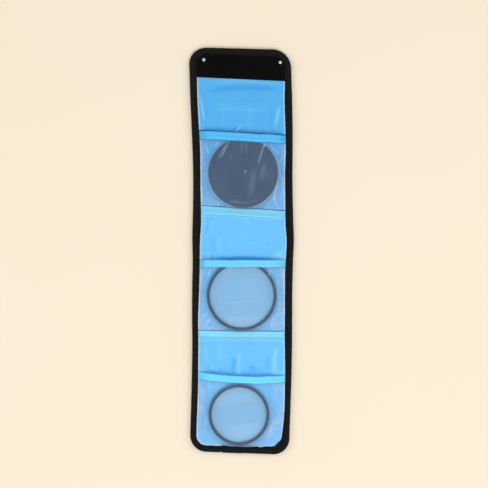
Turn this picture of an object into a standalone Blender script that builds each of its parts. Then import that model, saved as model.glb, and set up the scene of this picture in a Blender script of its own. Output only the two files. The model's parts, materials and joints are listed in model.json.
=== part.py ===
"""Three-pocket lens filter case, laid open flat with its pockets up and a filter in each pocket.

The case is a long padded strip: a woven outer cover below, a foam sheet, a blue lining above, and a
binding tape folded round the whole edge.  Three clear film pockets are sewn onto the lining.  It closes
like a letter: the lower panel folds up over the middle one, the upper panel folds down over both, and
the flap wraps round the lower fold to press its hook strip onto the loop strip on the back.
Each fold is a pair of creases with a narrow spine between them, because the filled pockets need that
height inside the closed case.

Metres, +Z up.  X runs across the case, +Y runs from the lower panel to the flap, and z = 0 is the surface
that the case lies on.  The origin is the middle of the outline at z = 0.
"""

import math

import bmesh
import bpy
from mathutils import Matrix, Vector

# Thicknesses of the sewn layers, and the gap that is left between two layers that touch
BINDING_THICKNESS = 0.0005
COVER_THICKNESS = 0.0004
FOAM_THICKNESS = 0.0012
LINING_THICKNESS = 0.0003
FILM_THICKNESS = 0.0003
TAPE_THICKNESS = 0.0004
LAYER_GAP = 0.0003

# Outline of the case and its creases
BINDING_WIDTH = 0.0064
TOP_CORNER_RADIUS = 0.018
BOTTOM_CORNER_RADIUS = 0.016
CREASE_LIFT = 0.00015
CREASE_GAP = 0.0003
FOAM_CHANNEL = 0.003
FOLD_CLEARANCE = 0.0006
WRAP_CLEARANCE = 0.00065
LOWER_PANEL_SETBACK = 0.004
FLAP_LENGTH = 0.0477

# Filters: a turned rim with a male thread below, a glass disc and a retaining ring
LARGE_THREAD_RADIUS = 0.0335
SMALL_THREAD_RADIUS = 0.029
RIM_FLANGE = 0.0015
THREAD_HEIGHT = 0.0018
THREAD_RELIEF = 0.0003
BORE_RELIEF = 0.0001
LEDGE_ABOVE_THREAD = 0.0005
LEDGE_DEPTH = 0.0021
GLASS_THICKNESS = 0.0012
RING_HEIGHT = 0.0007
RING_DEPTH = 0.0016
RING_SUNK = 0.0002
RIM_FIT = 0.0003

# Pockets: clear film over the lining, a tape folded over the mouth, a flat tape on the bottom seam
POCKET_SIDE_SLACK = 0.0086
FILM_MARGIN = 0.0004
FILM_SIDE_ROOM = 0.0011
SKIRT_RUN = 0.0005
FILM_CORNER_RADIUS = 0.008
SEAM_TAPE_WIDTH = 0.0068
MIDDLE_SEAM_FROM_CREASE = 0.0089
UPPER_SEAM_FROM_CREASE = 0.0112
MIDDLE_MOUTH_TO_CREASE = 0.0096
UPPER_MOUTH_TAPE_WIDTH = 0.0086
MIDDLE_MOUTH_TAPE_WIDTH = 0.0076
LOWER_MOUTH_TAPE_WIDTH = 0.0071
UPPER_MOUTH_ABOVE_FILTER = 0.0053
MIDDLE_MOUTH_ABOVE_FILTER = 0.0003
LOWER_MOUTH_ABOVE_FILTER = 0.0082
UPPER_FILTER_SHIFT = 0.0012
MIDDLE_FILTER_SHIFT = -0.0003
LOWER_FILTER_SHIFT = -0.003
TAPE_END_SHARE = 0.36

# Hook strip inside the flap, loop strip on the back, and the eyelets in the flap's corners
HOOK_BASE_THICKNESS = 0.0003
HOOK_HEIGHT = 0.0009
HOOK_STRIP_WIDTH = 0.025
HOOK_TUCK = 0.0013
HOOK_SELVAGE = 0.001
HOOK_LOOP_GAP = 0.0003
LOOP_OVERHANG = 0.003
EYELET_HOLE_RADIUS = 0.0008
EYELET_WALL = 0.0004
EYELET_FLANGE = 0.0008
EYELET_FLANGE_THICKNESS = 0.0004
EYELET_FIT = 0.0003
WASHER_WIDTH = 0.0007
WASHER_RECESS = 0.0001
LEFT_EYELET_FROM_EDGE = 0.0088
LEFT_EYELET_DEGREES = 131.1
RIGHT_EYELET_FROM_EDGE = 0.0105
RIGHT_EYELET_DEGREES = 33.8

# How finely round shapes are cut, and how far a cutter reaches past what it cuts
CORNER_STEPS = 8
SIDE_STEPS = 5
RIM_STEPS = 56
EYELET_STEPS = 16
CUT_OVERRUN = 0.001

# Levels of the layers above the surface that the case lies on
COVER_BOTTOM = BINDING_THICKNESS + LAYER_GAP
COVER_TOP = COVER_BOTTOM + COVER_THICKNESS
FOAM_BOTTOM = COVER_TOP + LAYER_GAP
FOAM_TOP = FOAM_BOTTOM + FOAM_THICKNESS
LINING_BOTTOM = FOAM_TOP + LAYER_GAP
LINING_TOP = LINING_BOTTOM + LINING_THICKNESS
SEWN_ON = LINING_TOP + LAYER_GAP
FILM_MARGIN_TOP = SEWN_ON + FILM_THICKNESS
HOOK_BASE_TOP = SEWN_ON + HOOK_BASE_THICKNESS
HOOK_TOP = HOOK_BASE_TOP + HOOK_HEIGHT
BINDING_TOP = max(FILM_MARGIN_TOP, HOOK_BASE_TOP) + LAYER_GAP + BINDING_THICKNESS
CREASE_LEVEL = BINDING_TOP + CREASE_LIFT

# Levels of the filters, of the film over them and of the mouth tapes
LEDGE_HEIGHT = THREAD_HEIGHT + LEDGE_ABOVE_THREAD
RIM_HEIGHT = LEDGE_HEIGHT + RIM_FIT + GLASS_THICKNESS + RIM_FIT + RING_HEIGHT + RING_SUNK
FILTER_TOP = SEWN_ON + RIM_HEIGHT
FILM_TOP = FILTER_TOP + LAYER_GAP + TAPE_THICKNESS + LAYER_GAP + FILM_THICKNESS
MOUTH_TOP = FILM_TOP + LAYER_GAP + TAPE_THICKNESS

# Widths that follow from the larger filters
LARGE_RADIUS = LARGE_THREAD_RADIUS + RIM_FLANGE
INNER_HALF_WIDTH = LARGE_RADIUS + POCKET_SIDE_SLACK
HALF_WIDTH = INNER_HALF_WIDTH + BINDING_WIDTH
SEAM_TO_FILTER = LAYER_GAP + SKIRT_RUN + FILM_THICKNESS + LAYER_GAP
LAYER_INSET = BINDING_THICKNESS + LAYER_GAP

# Lengths of the panels and spines, from what has to lie between them when the case is shut
MIDDLE_PANEL_LENGTH = (
    MIDDLE_SEAM_FROM_CREASE + SEAM_TAPE_WIDTH + SEAM_TO_FILTER + 2 * LARGE_RADIUS
    + MIDDLE_MOUTH_ABOVE_FILTER + MIDDLE_MOUTH_TO_CREASE
)
LOWER_PANEL_LENGTH = MIDDLE_PANEL_LENGTH - LOWER_PANEL_SETBACK
LOWER_SPINE_LENGTH = 2 * (MOUTH_TOP - CREASE_LEVEL) + FOLD_CLEARANCE
UPPER_SPINE_LENGTH = LOWER_SPINE_LENGTH + MOUTH_TOP + FOLD_CLEARANCE
UPPER_PANEL_LENGTH = MIDDLE_PANEL_LENGTH + CREASE_LEVEL + WRAP_CLEARANCE
FLAP_SPINE_LENGTH = UPPER_SPINE_LENGTH + max(HOOK_TOP, BINDING_TOP) + HOOK_LOOP_GAP
CASE_LENGTH = (
    LOWER_PANEL_LENGTH + LOWER_SPINE_LENGTH + MIDDLE_PANEL_LENGTH + UPPER_SPINE_LENGTH
    + UPPER_PANEL_LENGTH + FLAP_SPINE_LENGTH + FLAP_LENGTH
)

# Places along the case, from its lower end to the top of the flap
BOTTOM_END = -CASE_LENGTH / 2
LOWER_CREASE = BOTTOM_END + LOWER_PANEL_LENGTH
LOWER_SPINE_CREASE = LOWER_CREASE + LOWER_SPINE_LENGTH
MIDDLE_CREASE = LOWER_SPINE_CREASE + MIDDLE_PANEL_LENGTH
UPPER_CREASE = MIDDLE_CREASE + UPPER_SPINE_LENGTH
FLAP_SPINE_CREASE = UPPER_CREASE + UPPER_PANEL_LENGTH
FLAP_CREASE = FLAP_SPINE_CREASE + FLAP_SPINE_LENGTH
TOP_END = FLAP_CREASE + FLAP_LENGTH

# The hook strip, and the loop strip where the hooks land when the flap's crease is shut below the case
HOOKS_LOW = TOP_END - BINDING_WIDTH + HOOK_TUCK - HOOK_STRIP_WIDTH
HOOKS_HIGH = HOOKS_LOW + HOOK_STRIP_WIDTH
SHUT_FLAP_CREASE = LOWER_SPINE_CREASE - CREASE_LEVEL - WRAP_CLEARANCE
LOOPS_LOW = SHUT_FLAP_CREASE + HOOKS_LOW - FLAP_CREASE - LOOP_OVERHANG
LOOPS_HIGH = SHUT_FLAP_CREASE + HOOKS_HIGH - FLAP_CREASE + LOOP_OVERHANG

# Each panel and spine: where it starts and ends along the case
PANELS = {
    "lower_panel": (BOTTOM_END, LOWER_CREASE),
    "lower_spine": (LOWER_CREASE, LOWER_SPINE_CREASE),
    "middle_panel": (LOWER_SPINE_CREASE, MIDDLE_CREASE),
    "upper_spine": (MIDDLE_CREASE, UPPER_CREASE),
    "upper_panel": (UPPER_CREASE, FLAP_SPINE_CREASE),
    "flap_spine": (FLAP_SPINE_CREASE, FLAP_CREASE),
    "flap": (FLAP_CREASE, TOP_END),
}


class Pocket:
    """One pocket, on its panel, and the filter that rests on its bottom seam."""

    def __init__(self, panel, seam, thread, shift, above, tape):
        self.panel = panel
        self.seam = seam
        self.thread = thread
        self.tape = tape
        self.radius = thread + RIM_FLANGE
        self.centre = Vector((shift, seam + SEAM_TO_FILTER + self.radius))
        self.mouth = self.centre.y + self.radius + above


UPPER_POCKET = Pocket(
    panel="upper_panel",
    seam=UPPER_CREASE + UPPER_SEAM_FROM_CREASE + SEAM_TAPE_WIDTH,
    thread=LARGE_THREAD_RADIUS,
    shift=UPPER_FILTER_SHIFT,
    above=UPPER_MOUTH_ABOVE_FILTER,
    tape=UPPER_MOUTH_TAPE_WIDTH,
)
MIDDLE_POCKET = Pocket(
    panel="middle_panel",
    seam=LOWER_SPINE_CREASE + MIDDLE_SEAM_FROM_CREASE + SEAM_TAPE_WIDTH,
    thread=LARGE_THREAD_RADIUS,
    shift=MIDDLE_FILTER_SHIFT,
    above=MIDDLE_MOUTH_ABOVE_FILTER,
    tape=MIDDLE_MOUTH_TAPE_WIDTH,
)
LOWER_POCKET = Pocket(
    panel="lower_panel",
    seam=BOTTOM_END + BINDING_WIDTH,
    thread=SMALL_THREAD_RADIUS,
    shift=LOWER_FILTER_SHIFT,
    above=LOWER_MOUTH_ABOVE_FILTER,
    tape=LOWER_MOUTH_TAPE_WIDTH,
)
POCKETS = {"upper": UPPER_POCKET, "middle": MIDDLE_POCKET, "lower": LOWER_POCKET}
FILTERS = {"dark_filter": UPPER_POCKET, "clear_filter": MIDDLE_POCKET, "small_filter": LOWER_POCKET}

# Each body: what carries it, and the crease that it turns on or the middle of the filter that slides
BODIES = {
    "middle_panel": (None, Vector((0.0, 0.0, 0.0))),
    "lower_spine": ("middle_panel", Vector((0.0, LOWER_SPINE_CREASE, CREASE_LEVEL))),
    "lower_panel": ("lower_spine", Vector((0.0, LOWER_CREASE, CREASE_LEVEL))),
    "upper_spine": ("middle_panel", Vector((0.0, MIDDLE_CREASE, CREASE_LEVEL))),
    "upper_panel": ("upper_spine", Vector((0.0, UPPER_CREASE, CREASE_LEVEL))),
    "flap_spine": ("upper_panel", Vector((0.0, FLAP_SPINE_CREASE, CREASE_LEVEL))),
    "flap": ("flap_spine", Vector((0.0, FLAP_CREASE, CREASE_LEVEL))),
    "dark_filter": ("upper_panel", UPPER_POCKET.centre.to_3d()),
    "clear_filter": ("middle_panel", MIDDLE_POCKET.centre.to_3d()),
    "small_filter": ("lower_panel", LOWER_POCKET.centre.to_3d()),
}


def clear_scene():
    """Removes what the startup file holds."""
    for obj in list(bpy.data.objects):
        bpy.data.objects.remove(obj, do_unlink=True)


def finish(name, colour, roughness, metallic=0.0, alpha=1.0):
    """A Principled material of one colour."""
    material = bpy.data.materials.new(name)
    material.use_nodes = True
    shader = material.node_tree.nodes["Principled BSDF"]
    shader.inputs["Base Color"].default_value = (*colour, 1.0)
    shader.inputs["Roughness"].default_value = roughness
    shader.inputs["Metallic"].default_value = metallic
    shader.inputs["Alpha"].default_value = alpha
    return material


def make_finishes():
    """The finishes of the case and of its filters, by name."""
    return {
        "cover": finish("black_nylon", (0.012, 0.012, 0.014), 0.75),
        "foam": finish("grey_foam", (0.25, 0.25, 0.26), 0.9),
        "lining": finish("blue_nylon", (0.14, 0.52, 0.90), 0.45),
        "binding": finish("black_tape", (0.010, 0.010, 0.012), 0.7),
        "film": finish("clear_film", (0.75, 0.85, 0.97), 0.15, alpha=0.3),
        "tape": finish("blue_tape", (0.18, 0.66, 0.95), 0.5),
        "hooks": finish("black_hooks", (0.006, 0.006, 0.007), 0.95),
        "loops": finish("black_loops", (0.014, 0.014, 0.016), 1.0),
        "nickel": finish("nickel", (0.85, 0.85, 0.85), 0.2, metallic=1.0),
        "rim": finish("black_anodised", (0.020, 0.018, 0.022), 0.4, metallic=0.6),
        "glass": finish("clear_glass", (0.80, 0.90, 0.95), 0.05, alpha=0.25),
        "dark_glass": finish("dark_glass", (0.03, 0.035, 0.045), 0.08),
    }


def make_empties():
    """An empty for each body, on its crease or in its filter's middle, under its parent's empty."""
    empties = {}
    for name, (parent, pivot) in BODIES.items():
        empty = bpy.data.objects.new("pivot_of_" + name, None)
        bpy.context.scene.collection.objects.link(empty)
        if parent:
            empty.parent = empties[parent]
            empty.location = pivot - BODIES[parent][1]
        else:
            empty.location = pivot
        empties[name] = empty
    return empties


class Case:
    """Collects the pieces: each has a body, whose pivot is the piece's origin, and a finish."""

    def __init__(self):
        self.finishes = make_finishes()
        self.empties = make_empties()

    def place(self, name, shape, body):
        """Turns a bmesh in world space into an object under its body's empty."""
        bmesh.ops.recalc_face_normals(shape, faces=shape.faces)
        mesh = bpy.data.meshes.new(name)
        shape.to_mesh(mesh)
        shape.free()
        mesh.transform(Matrix.Translation(-BODIES[body][1]))
        obj = bpy.data.objects.new(name, mesh)
        bpy.context.scene.collection.objects.link(obj)
        obj.parent = self.empties[body]
        return obj

    def add(self, name, shape, finish_name, body):
        """Adds a piece."""
        obj = self.place(name, shape, body)
        obj.data.materials.append(self.finishes[finish_name])
        return obj

    def drill(self, obj, body, centres, radius, low, high):
        """Cuts a round hole at each centre.  The cutters stay as unrendered wires."""
        for centre in centres:
            shape = plate(circle(centre, radius, EYELET_STEPS), low, high)
            cutter = self.place(f"hole_cutter_{len(obj.modifiers)}_{obj.name}", shape, body)
            cutter.hide_render = True
            cutter.display_type = "WIRE"
            modifier = obj.modifiers.new("hole", "BOOLEAN")
            modifier.operation = "DIFFERENCE"
            modifier.solver = "EXACT"
            modifier.object = cutter


def arc(centre, radius, first, last, steps):
    """Points of an arc from angle first to angle last, in degrees, both ends included."""
    angles = [math.radians(first + (last - first) * i / steps) for i in range(steps + 1)]
    return [Vector(centre) + radius * Vector((math.cos(a), math.sin(a))) for a in angles]


def circle(centre, radius, steps):
    """Points of a circle, the first not repeated."""
    return arc(centre, radius, 0, 360, steps)[:-1]


def rectangle(half_width, low, high):
    """A rectangle across the case, from low to high along it."""
    corners = [(-half_width, low), (half_width, low), (half_width, high), (-half_width, high)]
    return [Vector(corner) for corner in corners]


def rounded_end(half_width, crease, end, radius):
    """An outline from a straight side at the crease to an end with two round corners."""
    toward = math.copysign(1.0, end - crease)
    x = half_width - radius
    y = end - toward * radius
    right = arc((x, y), radius, 0, toward * 90, CORNER_STEPS)
    left = arc((-x, y), radius, toward * 90, toward * 180, CORNER_STEPS)
    return [Vector((half_width, crease))] + right + left + [Vector((-half_width, crease))]


def panel_outline(name, inset, channel):
    """A panel's outline, inset from the case's edge, and cut back from each crease by the channel."""
    low, high = PANELS[name]
    half = HALF_WIDTH - inset
    if name == "lower_panel":
        return rounded_end(half, high - channel, low + inset, BOTTOM_CORNER_RADIUS - inset)
    if name == "flap":
        return rounded_end(half, low + channel, high - inset, TOP_CORNER_RADIUS - inset)
    return rectangle(half, low + channel, high - channel)


def plate(outline, bottom, top):
    """A flat plate: the outline as a face, extruded up."""
    shape = bmesh.new()
    face = shape.faces.new([shape.verts.new((p.x, p.y, bottom)) for p in outline])
    grown = bmesh.ops.extrude_face_region(shape, geom=[face])
    lifted = [v for v in grown["geom"] if isinstance(v, bmesh.types.BMVert)]
    bmesh.ops.translate(shape, verts=lifted, vec=(0.0, 0.0, top - bottom))
    return shape


def swept(rings):
    """A solid through closed rings of equally many points, with its two ends capped."""
    shape = bmesh.new()
    loops = [[shape.verts.new(p) for p in ring] for ring in rings]
    for here, there in zip(loops, loops[1:]):
        for i in range(len(here)):
            j = (i + 1) % len(here)
            shape.faces.new((here[i], here[j], there[j], there[i]))
    ends = [shape.faces.new(loops[0]), shape.faces.new(loops[-1])]
    shape.normal_update()
    bmesh.ops.triangulate(shape, faces=ends)
    return shape


def turned(profile, centre, steps):
    """A ring turned about a vertical axis.  The profile is a closed loop of (radius, height) pairs."""
    shape = bmesh.new()
    verts = [shape.verts.new((centre.x + r, centre.y, z)) for r, z in profile]
    edges = [shape.edges.new(pair) for pair in zip(verts, verts[1:] + verts[:1])]
    bmesh.ops.spin(
        shape, geom=verts + edges, cent=centre.to_3d(), axis=(0, 0, 1),
        angle=math.tau, steps=steps, use_merge=True,
    )
    return shape


def smooth(obj):
    """Shades a round piece smooth between its sharp edges."""
    obj.data.shade_smooth()
    obj.data.set_sharp_from_angle(angle=math.radians(40))


def add_layers(case):
    """The cover, foam and lining of every panel and spine."""
    for name in PANELS:
        for layer, bottom, top, channel in (
            ("cover", COVER_BOTTOM, COVER_TOP, CREASE_GAP),
            ("foam", FOAM_BOTTOM, FOAM_TOP, FOAM_CHANNEL),
            ("lining", LINING_BOTTOM, LINING_TOP, CREASE_GAP),
        ):
            outline = panel_outline(name, LAYER_INSET, channel)
            case.add(f"{layer}_{name}", plate(outline, bottom, top), layer, name)


def binding_section(edge, inward):
    """The folded tape's section at a point of the case's edge: a U that opens inward."""
    width, wall, top = BINDING_WIDTH, BINDING_THICKNESS, BINDING_TOP
    section = [
        (0.0, 0.0), (width, 0.0), (width, wall), (wall, wall),
        (wall, top - wall), (width, top - wall), (width, top), (0.0, top),
    ]
    return [(edge + inward * s).to_3d() + Vector((0.0, 0.0, z)) for s, z in section]


def end_binding(outline):
    """The tape round one end of the case, whose outline starts and ends at the crease."""
    sections = [binding_section(outline[0], Vector((-1.0, 0.0)))]
    for before, here, after in zip(outline, outline[1:], outline[2:]):
        along = (after - here).normalized() + (here - before).normalized()
        inward = Vector((-along.y, along.x)).normalized()
        if inward.dot(here - outline[0].lerp(outline[-1], 0.5)) > 0:
            inward = -inward
        sections.append(binding_section(here, inward))
    sections.append(binding_section(outline[-1], Vector((1.0, 0.0))))
    return swept(sections)


def add_bindings(case):
    """The edge tape: one piece round each end, and a strip on each side of every other panel."""
    for name, (low, high) in PANELS.items():
        if name in ("lower_panel", "flap"):
            outline = panel_outline(name, 0.0, CREASE_GAP)
            case.add("binding_" + name, end_binding(outline), "binding", name)
            continue
        for side, toward in (("left", -1.0), ("right", 1.0)):
            edge = [Vector((toward * HALF_WIDTH, y)) for y in (low + CREASE_GAP, high - CREASE_GAP)]
            sections = [binding_section(point, Vector((-toward, 0.0))) for point in edge]
            case.add(f"binding_{name}_{side}", swept(sections), "binding", name)


def pocket_ring(pocket, half_width, bottom, corner, top):
    """A U round the pocket: down the left side, round the bottom and up the right side."""
    half = half_width - corner
    middle = pocket.centre.y
    left = arc((-half, bottom + corner), corner, 180, 270, CORNER_STEPS)
    right = arc((half, bottom + corner), corner, 270, 360, CORNER_STEPS)
    across = [left[-1].lerp(right[0], i / CORNER_STEPS) for i in range(1, CORNER_STEPS)]
    down = [Vector((-half_width, middle)).lerp(left[0], i / SIDE_STEPS) for i in range(SIDE_STEPS)]
    up = [Vector((-point.x, point.y)) for point in reversed(down)]
    ends = [Vector((-half_width, top)), Vector((half_width, top))]
    return [ends[0]] + down + left + across + right + up + [ends[1]]


def raised_ring(pocket, ring, side, end):
    """The edge of the film's raised part: round the filter below its middle, straight up above it."""
    points = []
    for point in ring:
        offset = point - pocket.centre
        if offset.y >= 0:
            points.append(Vector((pocket.centre.x + math.copysign(side, offset.x), point.y)))
        else:
            angle = math.atan2(offset.y, offset.x)
            points.append(pocket.centre + Vector((side * math.cos(angle), end * math.sin(angle))))
    return points


def pocket_film(pocket):
    """The clear film: a margin sewn down on three sides, a skirt, and a raised part over the filter."""
    top = pocket.mouth - TAPE_THICKNESS - LAYER_GAP
    wall = FILM_THICKNESS
    foot_half = INNER_HALF_WIDTH - FILM_MARGIN
    foot = pocket.seam + LAYER_GAP
    if pocket is LOWER_POCKET:
        edge_bottom = BOTTOM_END + LAYER_INSET
        edge_corner = BOTTOM_CORNER_RADIUS - LAYER_INSET
        foot_corner = BOTTOM_CORNER_RADIUS - BINDING_WIDTH
    else:
        edge_bottom = pocket.seam - SEAM_TAPE_WIDTH + LAYER_GAP
        edge_corner = foot_corner = FILM_CORNER_RADIUS
    side = pocket.radius + FILM_SIDE_ROOM
    end = pocket.radius + LAYER_GAP + wall
    edge = pocket_ring(pocket, HALF_WIDTH - LAYER_INSET, edge_bottom, edge_corner, top)
    upper_foot = pocket_ring(pocket, foot_half, foot, foot_corner, top)
    lower_foot = pocket_ring(pocket, foot_half - wall, foot + wall, foot_corner, top)
    rings = [
        (edge, FILM_MARGIN_TOP),
        (upper_foot, FILM_MARGIN_TOP),
        (raised_ring(pocket, upper_foot, side, end), FILM_TOP),
        (raised_ring(pocket, lower_foot, side - wall, end - wall), FILM_TOP - wall),
        (lower_foot, SEWN_ON),
        (edge, SEWN_ON),
    ]
    shape = bmesh.new()
    rows = [[shape.verts.new((p.x, p.y, z)) for p in ring] for ring, z in rings]
    edge_top, foot_top, raised_top, raised_low, foot_low, edge_low = rows
    for here, there in (
        (edge_top, foot_top), (foot_top, raised_top), (raised_low, foot_low),
        (foot_low, edge_low), (edge_low, edge_top),
    ):
        for i in range(len(here) - 1):
            shape.faces.new((here[i], here[i + 1], there[i + 1], there[i]))
    shape.faces.new(raised_top)
    shape.faces.new(raised_low)
    for i in (0, -1):
        shape.faces.new((edge_top[i], foot_top[i], foot_low[i], edge_low[i]))
        shape.faces.new((foot_top[i], raised_top[i], raised_low[i], foot_low[i]))
    shape.faces.new((raised_top[0], raised_top[-1], raised_low[-1], raised_low[0]))
    shape.normal_update()
    bmesh.ops.triangulate(shape, faces=shape.faces)
    return shape


def mouth_rail(pocket):
    """Points on the film's top across the mouth, between the tape's two ends, each with its normal."""
    side = pocket.radius + FILM_SIDE_ROOM
    foot = INNER_HALF_WIDTH - FILM_MARGIN
    feet = [Vector((-foot, FILM_MARGIN_TOP)), Vector((foot, FILM_MARGIN_TOP))]
    tops = [Vector((pocket.centre.x + s, FILM_TOP)) for s in (-side, side)]
    ends = [a.lerp(b, TAPE_END_SHARE) for a, b in zip(feet, tops)]
    points = [ends[0], tops[0], tops[1], ends[1]]
    runs = [(b - a).normalized() for a, b in zip(points, points[1:])]
    normals = [Vector((-run.y, run.x)) for run in runs]
    rail = [(points[0], normals[0])]
    for point, before, after in zip(points[1:], normals, normals[1:]):
        mitre = (before + after).normalized()
        rail.append((point, mitre / mitre.dot(after)))
    rail.append((points[3], normals[2]))
    return rail


def mouth_tape(pocket):
    """The tape folded over the film's free edge, following it across the mouth."""
    top = pocket.mouth
    low = top - pocket.tape
    fold = top - TAPE_THICKNESS
    above = LAYER_GAP + TAPE_THICKNESS
    below = -FILM_THICKNESS - LAYER_GAP
    section = [
        (above, low), (above, top), (below - TAPE_THICKNESS, top), (below - TAPE_THICKNESS, low),
        (below, low), (below, fold), (LAYER_GAP, fold), (LAYER_GAP, low),
    ]
    rings = []
    for point, normal in mouth_rail(pocket):
        rings.append([(point.x + normal.x * d, y, point.y + normal.y * d) for d, y in section])
    return swept(rings)


def add_pockets(case):
    """The film, the mouth tape and the bottom seam tape of each pocket."""
    for name, pocket in POCKETS.items():
        case.add(f"pocket_film_{name}", pocket_film(pocket), "film", pocket.panel)
        case.add(f"mouth_tape_{name}", mouth_tape(pocket), "tape", pocket.panel)
        if pocket is LOWER_POCKET:
            continue
        half = INNER_HALF_WIDTH - LAYER_GAP
        outline = rectangle(half, pocket.seam - SEAM_TAPE_WIDTH, pocket.seam)
        bottom = FILM_MARGIN_TOP + LAYER_GAP
        tape = plate(outline, bottom, bottom + TAPE_THICKNESS)
        case.add(f"seam_tape_{name}", tape, "tape", pocket.panel)


def rim(pocket):
    """The filter's rim: male thread below, flange above, and inside it the ledge that holds the glass."""
    ledge = pocket.thread - LEDGE_DEPTH
    male = pocket.thread - THREAD_RELIEF
    bore = pocket.thread - BORE_RELIEF
    shoulder = SEWN_ON + THREAD_HEIGHT
    ledge_top = SEWN_ON + LEDGE_HEIGHT
    profile = [
        (ledge, SEWN_ON), (male, SEWN_ON), (male, shoulder), (pocket.radius, shoulder),
        (pocket.radius, FILTER_TOP), (bore, FILTER_TOP), (bore, ledge_top), (ledge, ledge_top),
    ]
    return turned(profile, pocket.centre, RIM_STEPS)


def add_filters(case):
    """Each filter's rim, its glass on the rim's ledge, and the retaining ring above the glass."""
    for name, pocket in FILTERS.items():
        fitted = pocket.thread - BORE_RELIEF - RIM_FIT
        glass_bottom = SEWN_ON + LEDGE_HEIGHT + RIM_FIT
        glass_top = glass_bottom + GLASS_THICKNESS
        glass = plate(circle(pocket.centre, fitted, RIM_STEPS), glass_bottom, glass_top)
        ring_bottom = glass_top + RIM_FIT
        ring_top = ring_bottom + RING_HEIGHT
        inner = fitted - RING_DEPTH
        ring_profile = [
            (inner, ring_bottom), (fitted, ring_bottom), (fitted, ring_top), (inner, ring_top),
        ]
        ring = turned(ring_profile, pocket.centre, RIM_STEPS)
        glass_finish = "dark_glass" if pocket is UPPER_POCKET else "glass"
        smooth(case.add(name + "_rim", rim(pocket), "rim", name))
        smooth(case.add(name + "_glass", glass, glass_finish, name))
        smooth(case.add(name + "_retaining_ring", ring, "rim", name))


def hook_strip():
    """The hook tape: a thin base that runs under the binding, and the raised hooks inside the binding."""
    x = HALF_WIDTH - TOP_CORNER_RADIUS
    y = TOP_END - TOP_CORNER_RADIUS
    base_radius = TOP_CORNER_RADIUS - LAYER_INSET
    hooks_inset = BINDING_WIDTH + LAYER_GAP
    hooks_radius = TOP_CORNER_RADIUS - hooks_inset
    base_turn = math.degrees(math.asin((HOOKS_HIGH - y) / base_radius))

    def outline(half, low, radius, turn):
        right = arc((x, y), radius, 0, turn, CORNER_STEPS)
        left = arc((-x, y), radius, 180 - turn, 180, CORNER_STEPS)
        return [Vector((-half, low)), Vector((half, low))] + right + left

    base = outline(HALF_WIDTH - LAYER_INSET, HOOKS_LOW, base_radius, base_turn)
    hooks = outline(HALF_WIDTH - hooks_inset, HOOKS_LOW + HOOK_SELVAGE, hooks_radius, 90)
    return swept([
        [(p.x, p.y, SEWN_ON) for p in base],
        [(p.x, p.y, HOOK_BASE_TOP) for p in base],
        [(p.x, p.y, HOOK_BASE_TOP) for p in hooks],
        [(p.x, p.y, HOOK_TOP) for p in hooks],
    ])


def eyelet_place(toward, from_edge, degrees):
    """A place in one of the flap's corners: in from the round edge, at an angle about the corner's middle."""
    corner = Vector((toward * (HALF_WIDTH - TOP_CORNER_RADIUS), TOP_END - TOP_CORNER_RADIUS))
    turn = math.radians(degrees)
    return corner + (TOP_CORNER_RADIUS - from_edge) * Vector((math.cos(turn), math.sin(turn)))


def eyelet(centre):
    """The eyelet: a flange on the hook strip's base, and a barrel down through all the layers."""
    barrel = EYELET_HOLE_RADIUS + EYELET_WALL
    flange = barrel + EYELET_FLANGE
    flange_bottom = HOOK_BASE_TOP + LAYER_GAP
    flange_top = flange_bottom + EYELET_FLANGE_THICKNESS
    profile = [
        (EYELET_HOLE_RADIUS, WASHER_RECESS), (barrel, WASHER_RECESS), (barrel, flange_bottom),
        (flange, flange_bottom), (flange, flange_top), (EYELET_HOLE_RADIUS, flange_top),
    ]
    return turned(profile, centre, EYELET_STEPS)


def washer(centre):
    """The washer round the barrel's end, against the cover's back."""
    inner = EYELET_HOLE_RADIUS + EYELET_WALL + EYELET_FIT
    outer = inner + WASHER_WIDTH
    top = COVER_BOTTOM - LAYER_GAP
    profile = [(inner, WASHER_RECESS), (outer, WASHER_RECESS), (outer, top), (inner, top)]
    return turned(profile, centre, EYELET_STEPS)


def add_closure(case, flap_layers):
    """The hook and loop strips, and the two eyelets with their washers and holes."""
    hooks = case.add("hook_strip", hook_strip(), "hooks", "flap")
    half = INNER_HALF_WIDTH - LAYER_GAP
    loops = plate(rectangle(half, LOOPS_LOW, LOOPS_HIGH), 0.0, COVER_BOTTOM - LAYER_GAP)
    case.add("loop_strip", loops, "loops", "middle_panel")
    places = {
        "left": eyelet_place(-1.0, LEFT_EYELET_FROM_EDGE, LEFT_EYELET_DEGREES),
        "right": eyelet_place(1.0, RIGHT_EYELET_FROM_EDGE, RIGHT_EYELET_DEGREES),
    }
    for side, centre in places.items():
        smooth(case.add("eyelet_" + side, eyelet(centre), "nickel", "flap"))
        smooth(case.add("washer_" + side, washer(centre), "nickel", "flap"))
    hole = EYELET_HOLE_RADIUS + EYELET_WALL + EYELET_FIT
    recess = EYELET_HOLE_RADIUS + EYELET_WALL + EYELET_FLANGE + EYELET_FIT
    centres = list(places.values())
    top = HOOK_TOP + CUT_OVERRUN
    for layer in flap_layers + [hooks]:
        case.drill(layer, "flap", centres, hole, -CUT_OVERRUN, top)
    case.drill(hooks, "flap", centres, recess, HOOK_BASE_TOP, top)


def main():
    clear_scene()
    case = Case()
    add_layers(case)
    add_bindings(case)
    add_pockets(case)
    add_filters(case)
    flap_layers = [bpy.data.objects[layer + "_flap"] for layer in ("cover", "foam", "lining")]
    add_closure(case, flap_layers)


main()
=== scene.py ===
# %% [markdown]
# # A lens filter case, laid open
#
# The object is a long padded strip of cloth with three clear pockets, a filter in each, and a flap that
# closes with hook and loop tape.  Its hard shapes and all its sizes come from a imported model, the frame.
# This lesson makes the cloth, the film, the tapes, the threads and the finishes around that frame.

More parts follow.
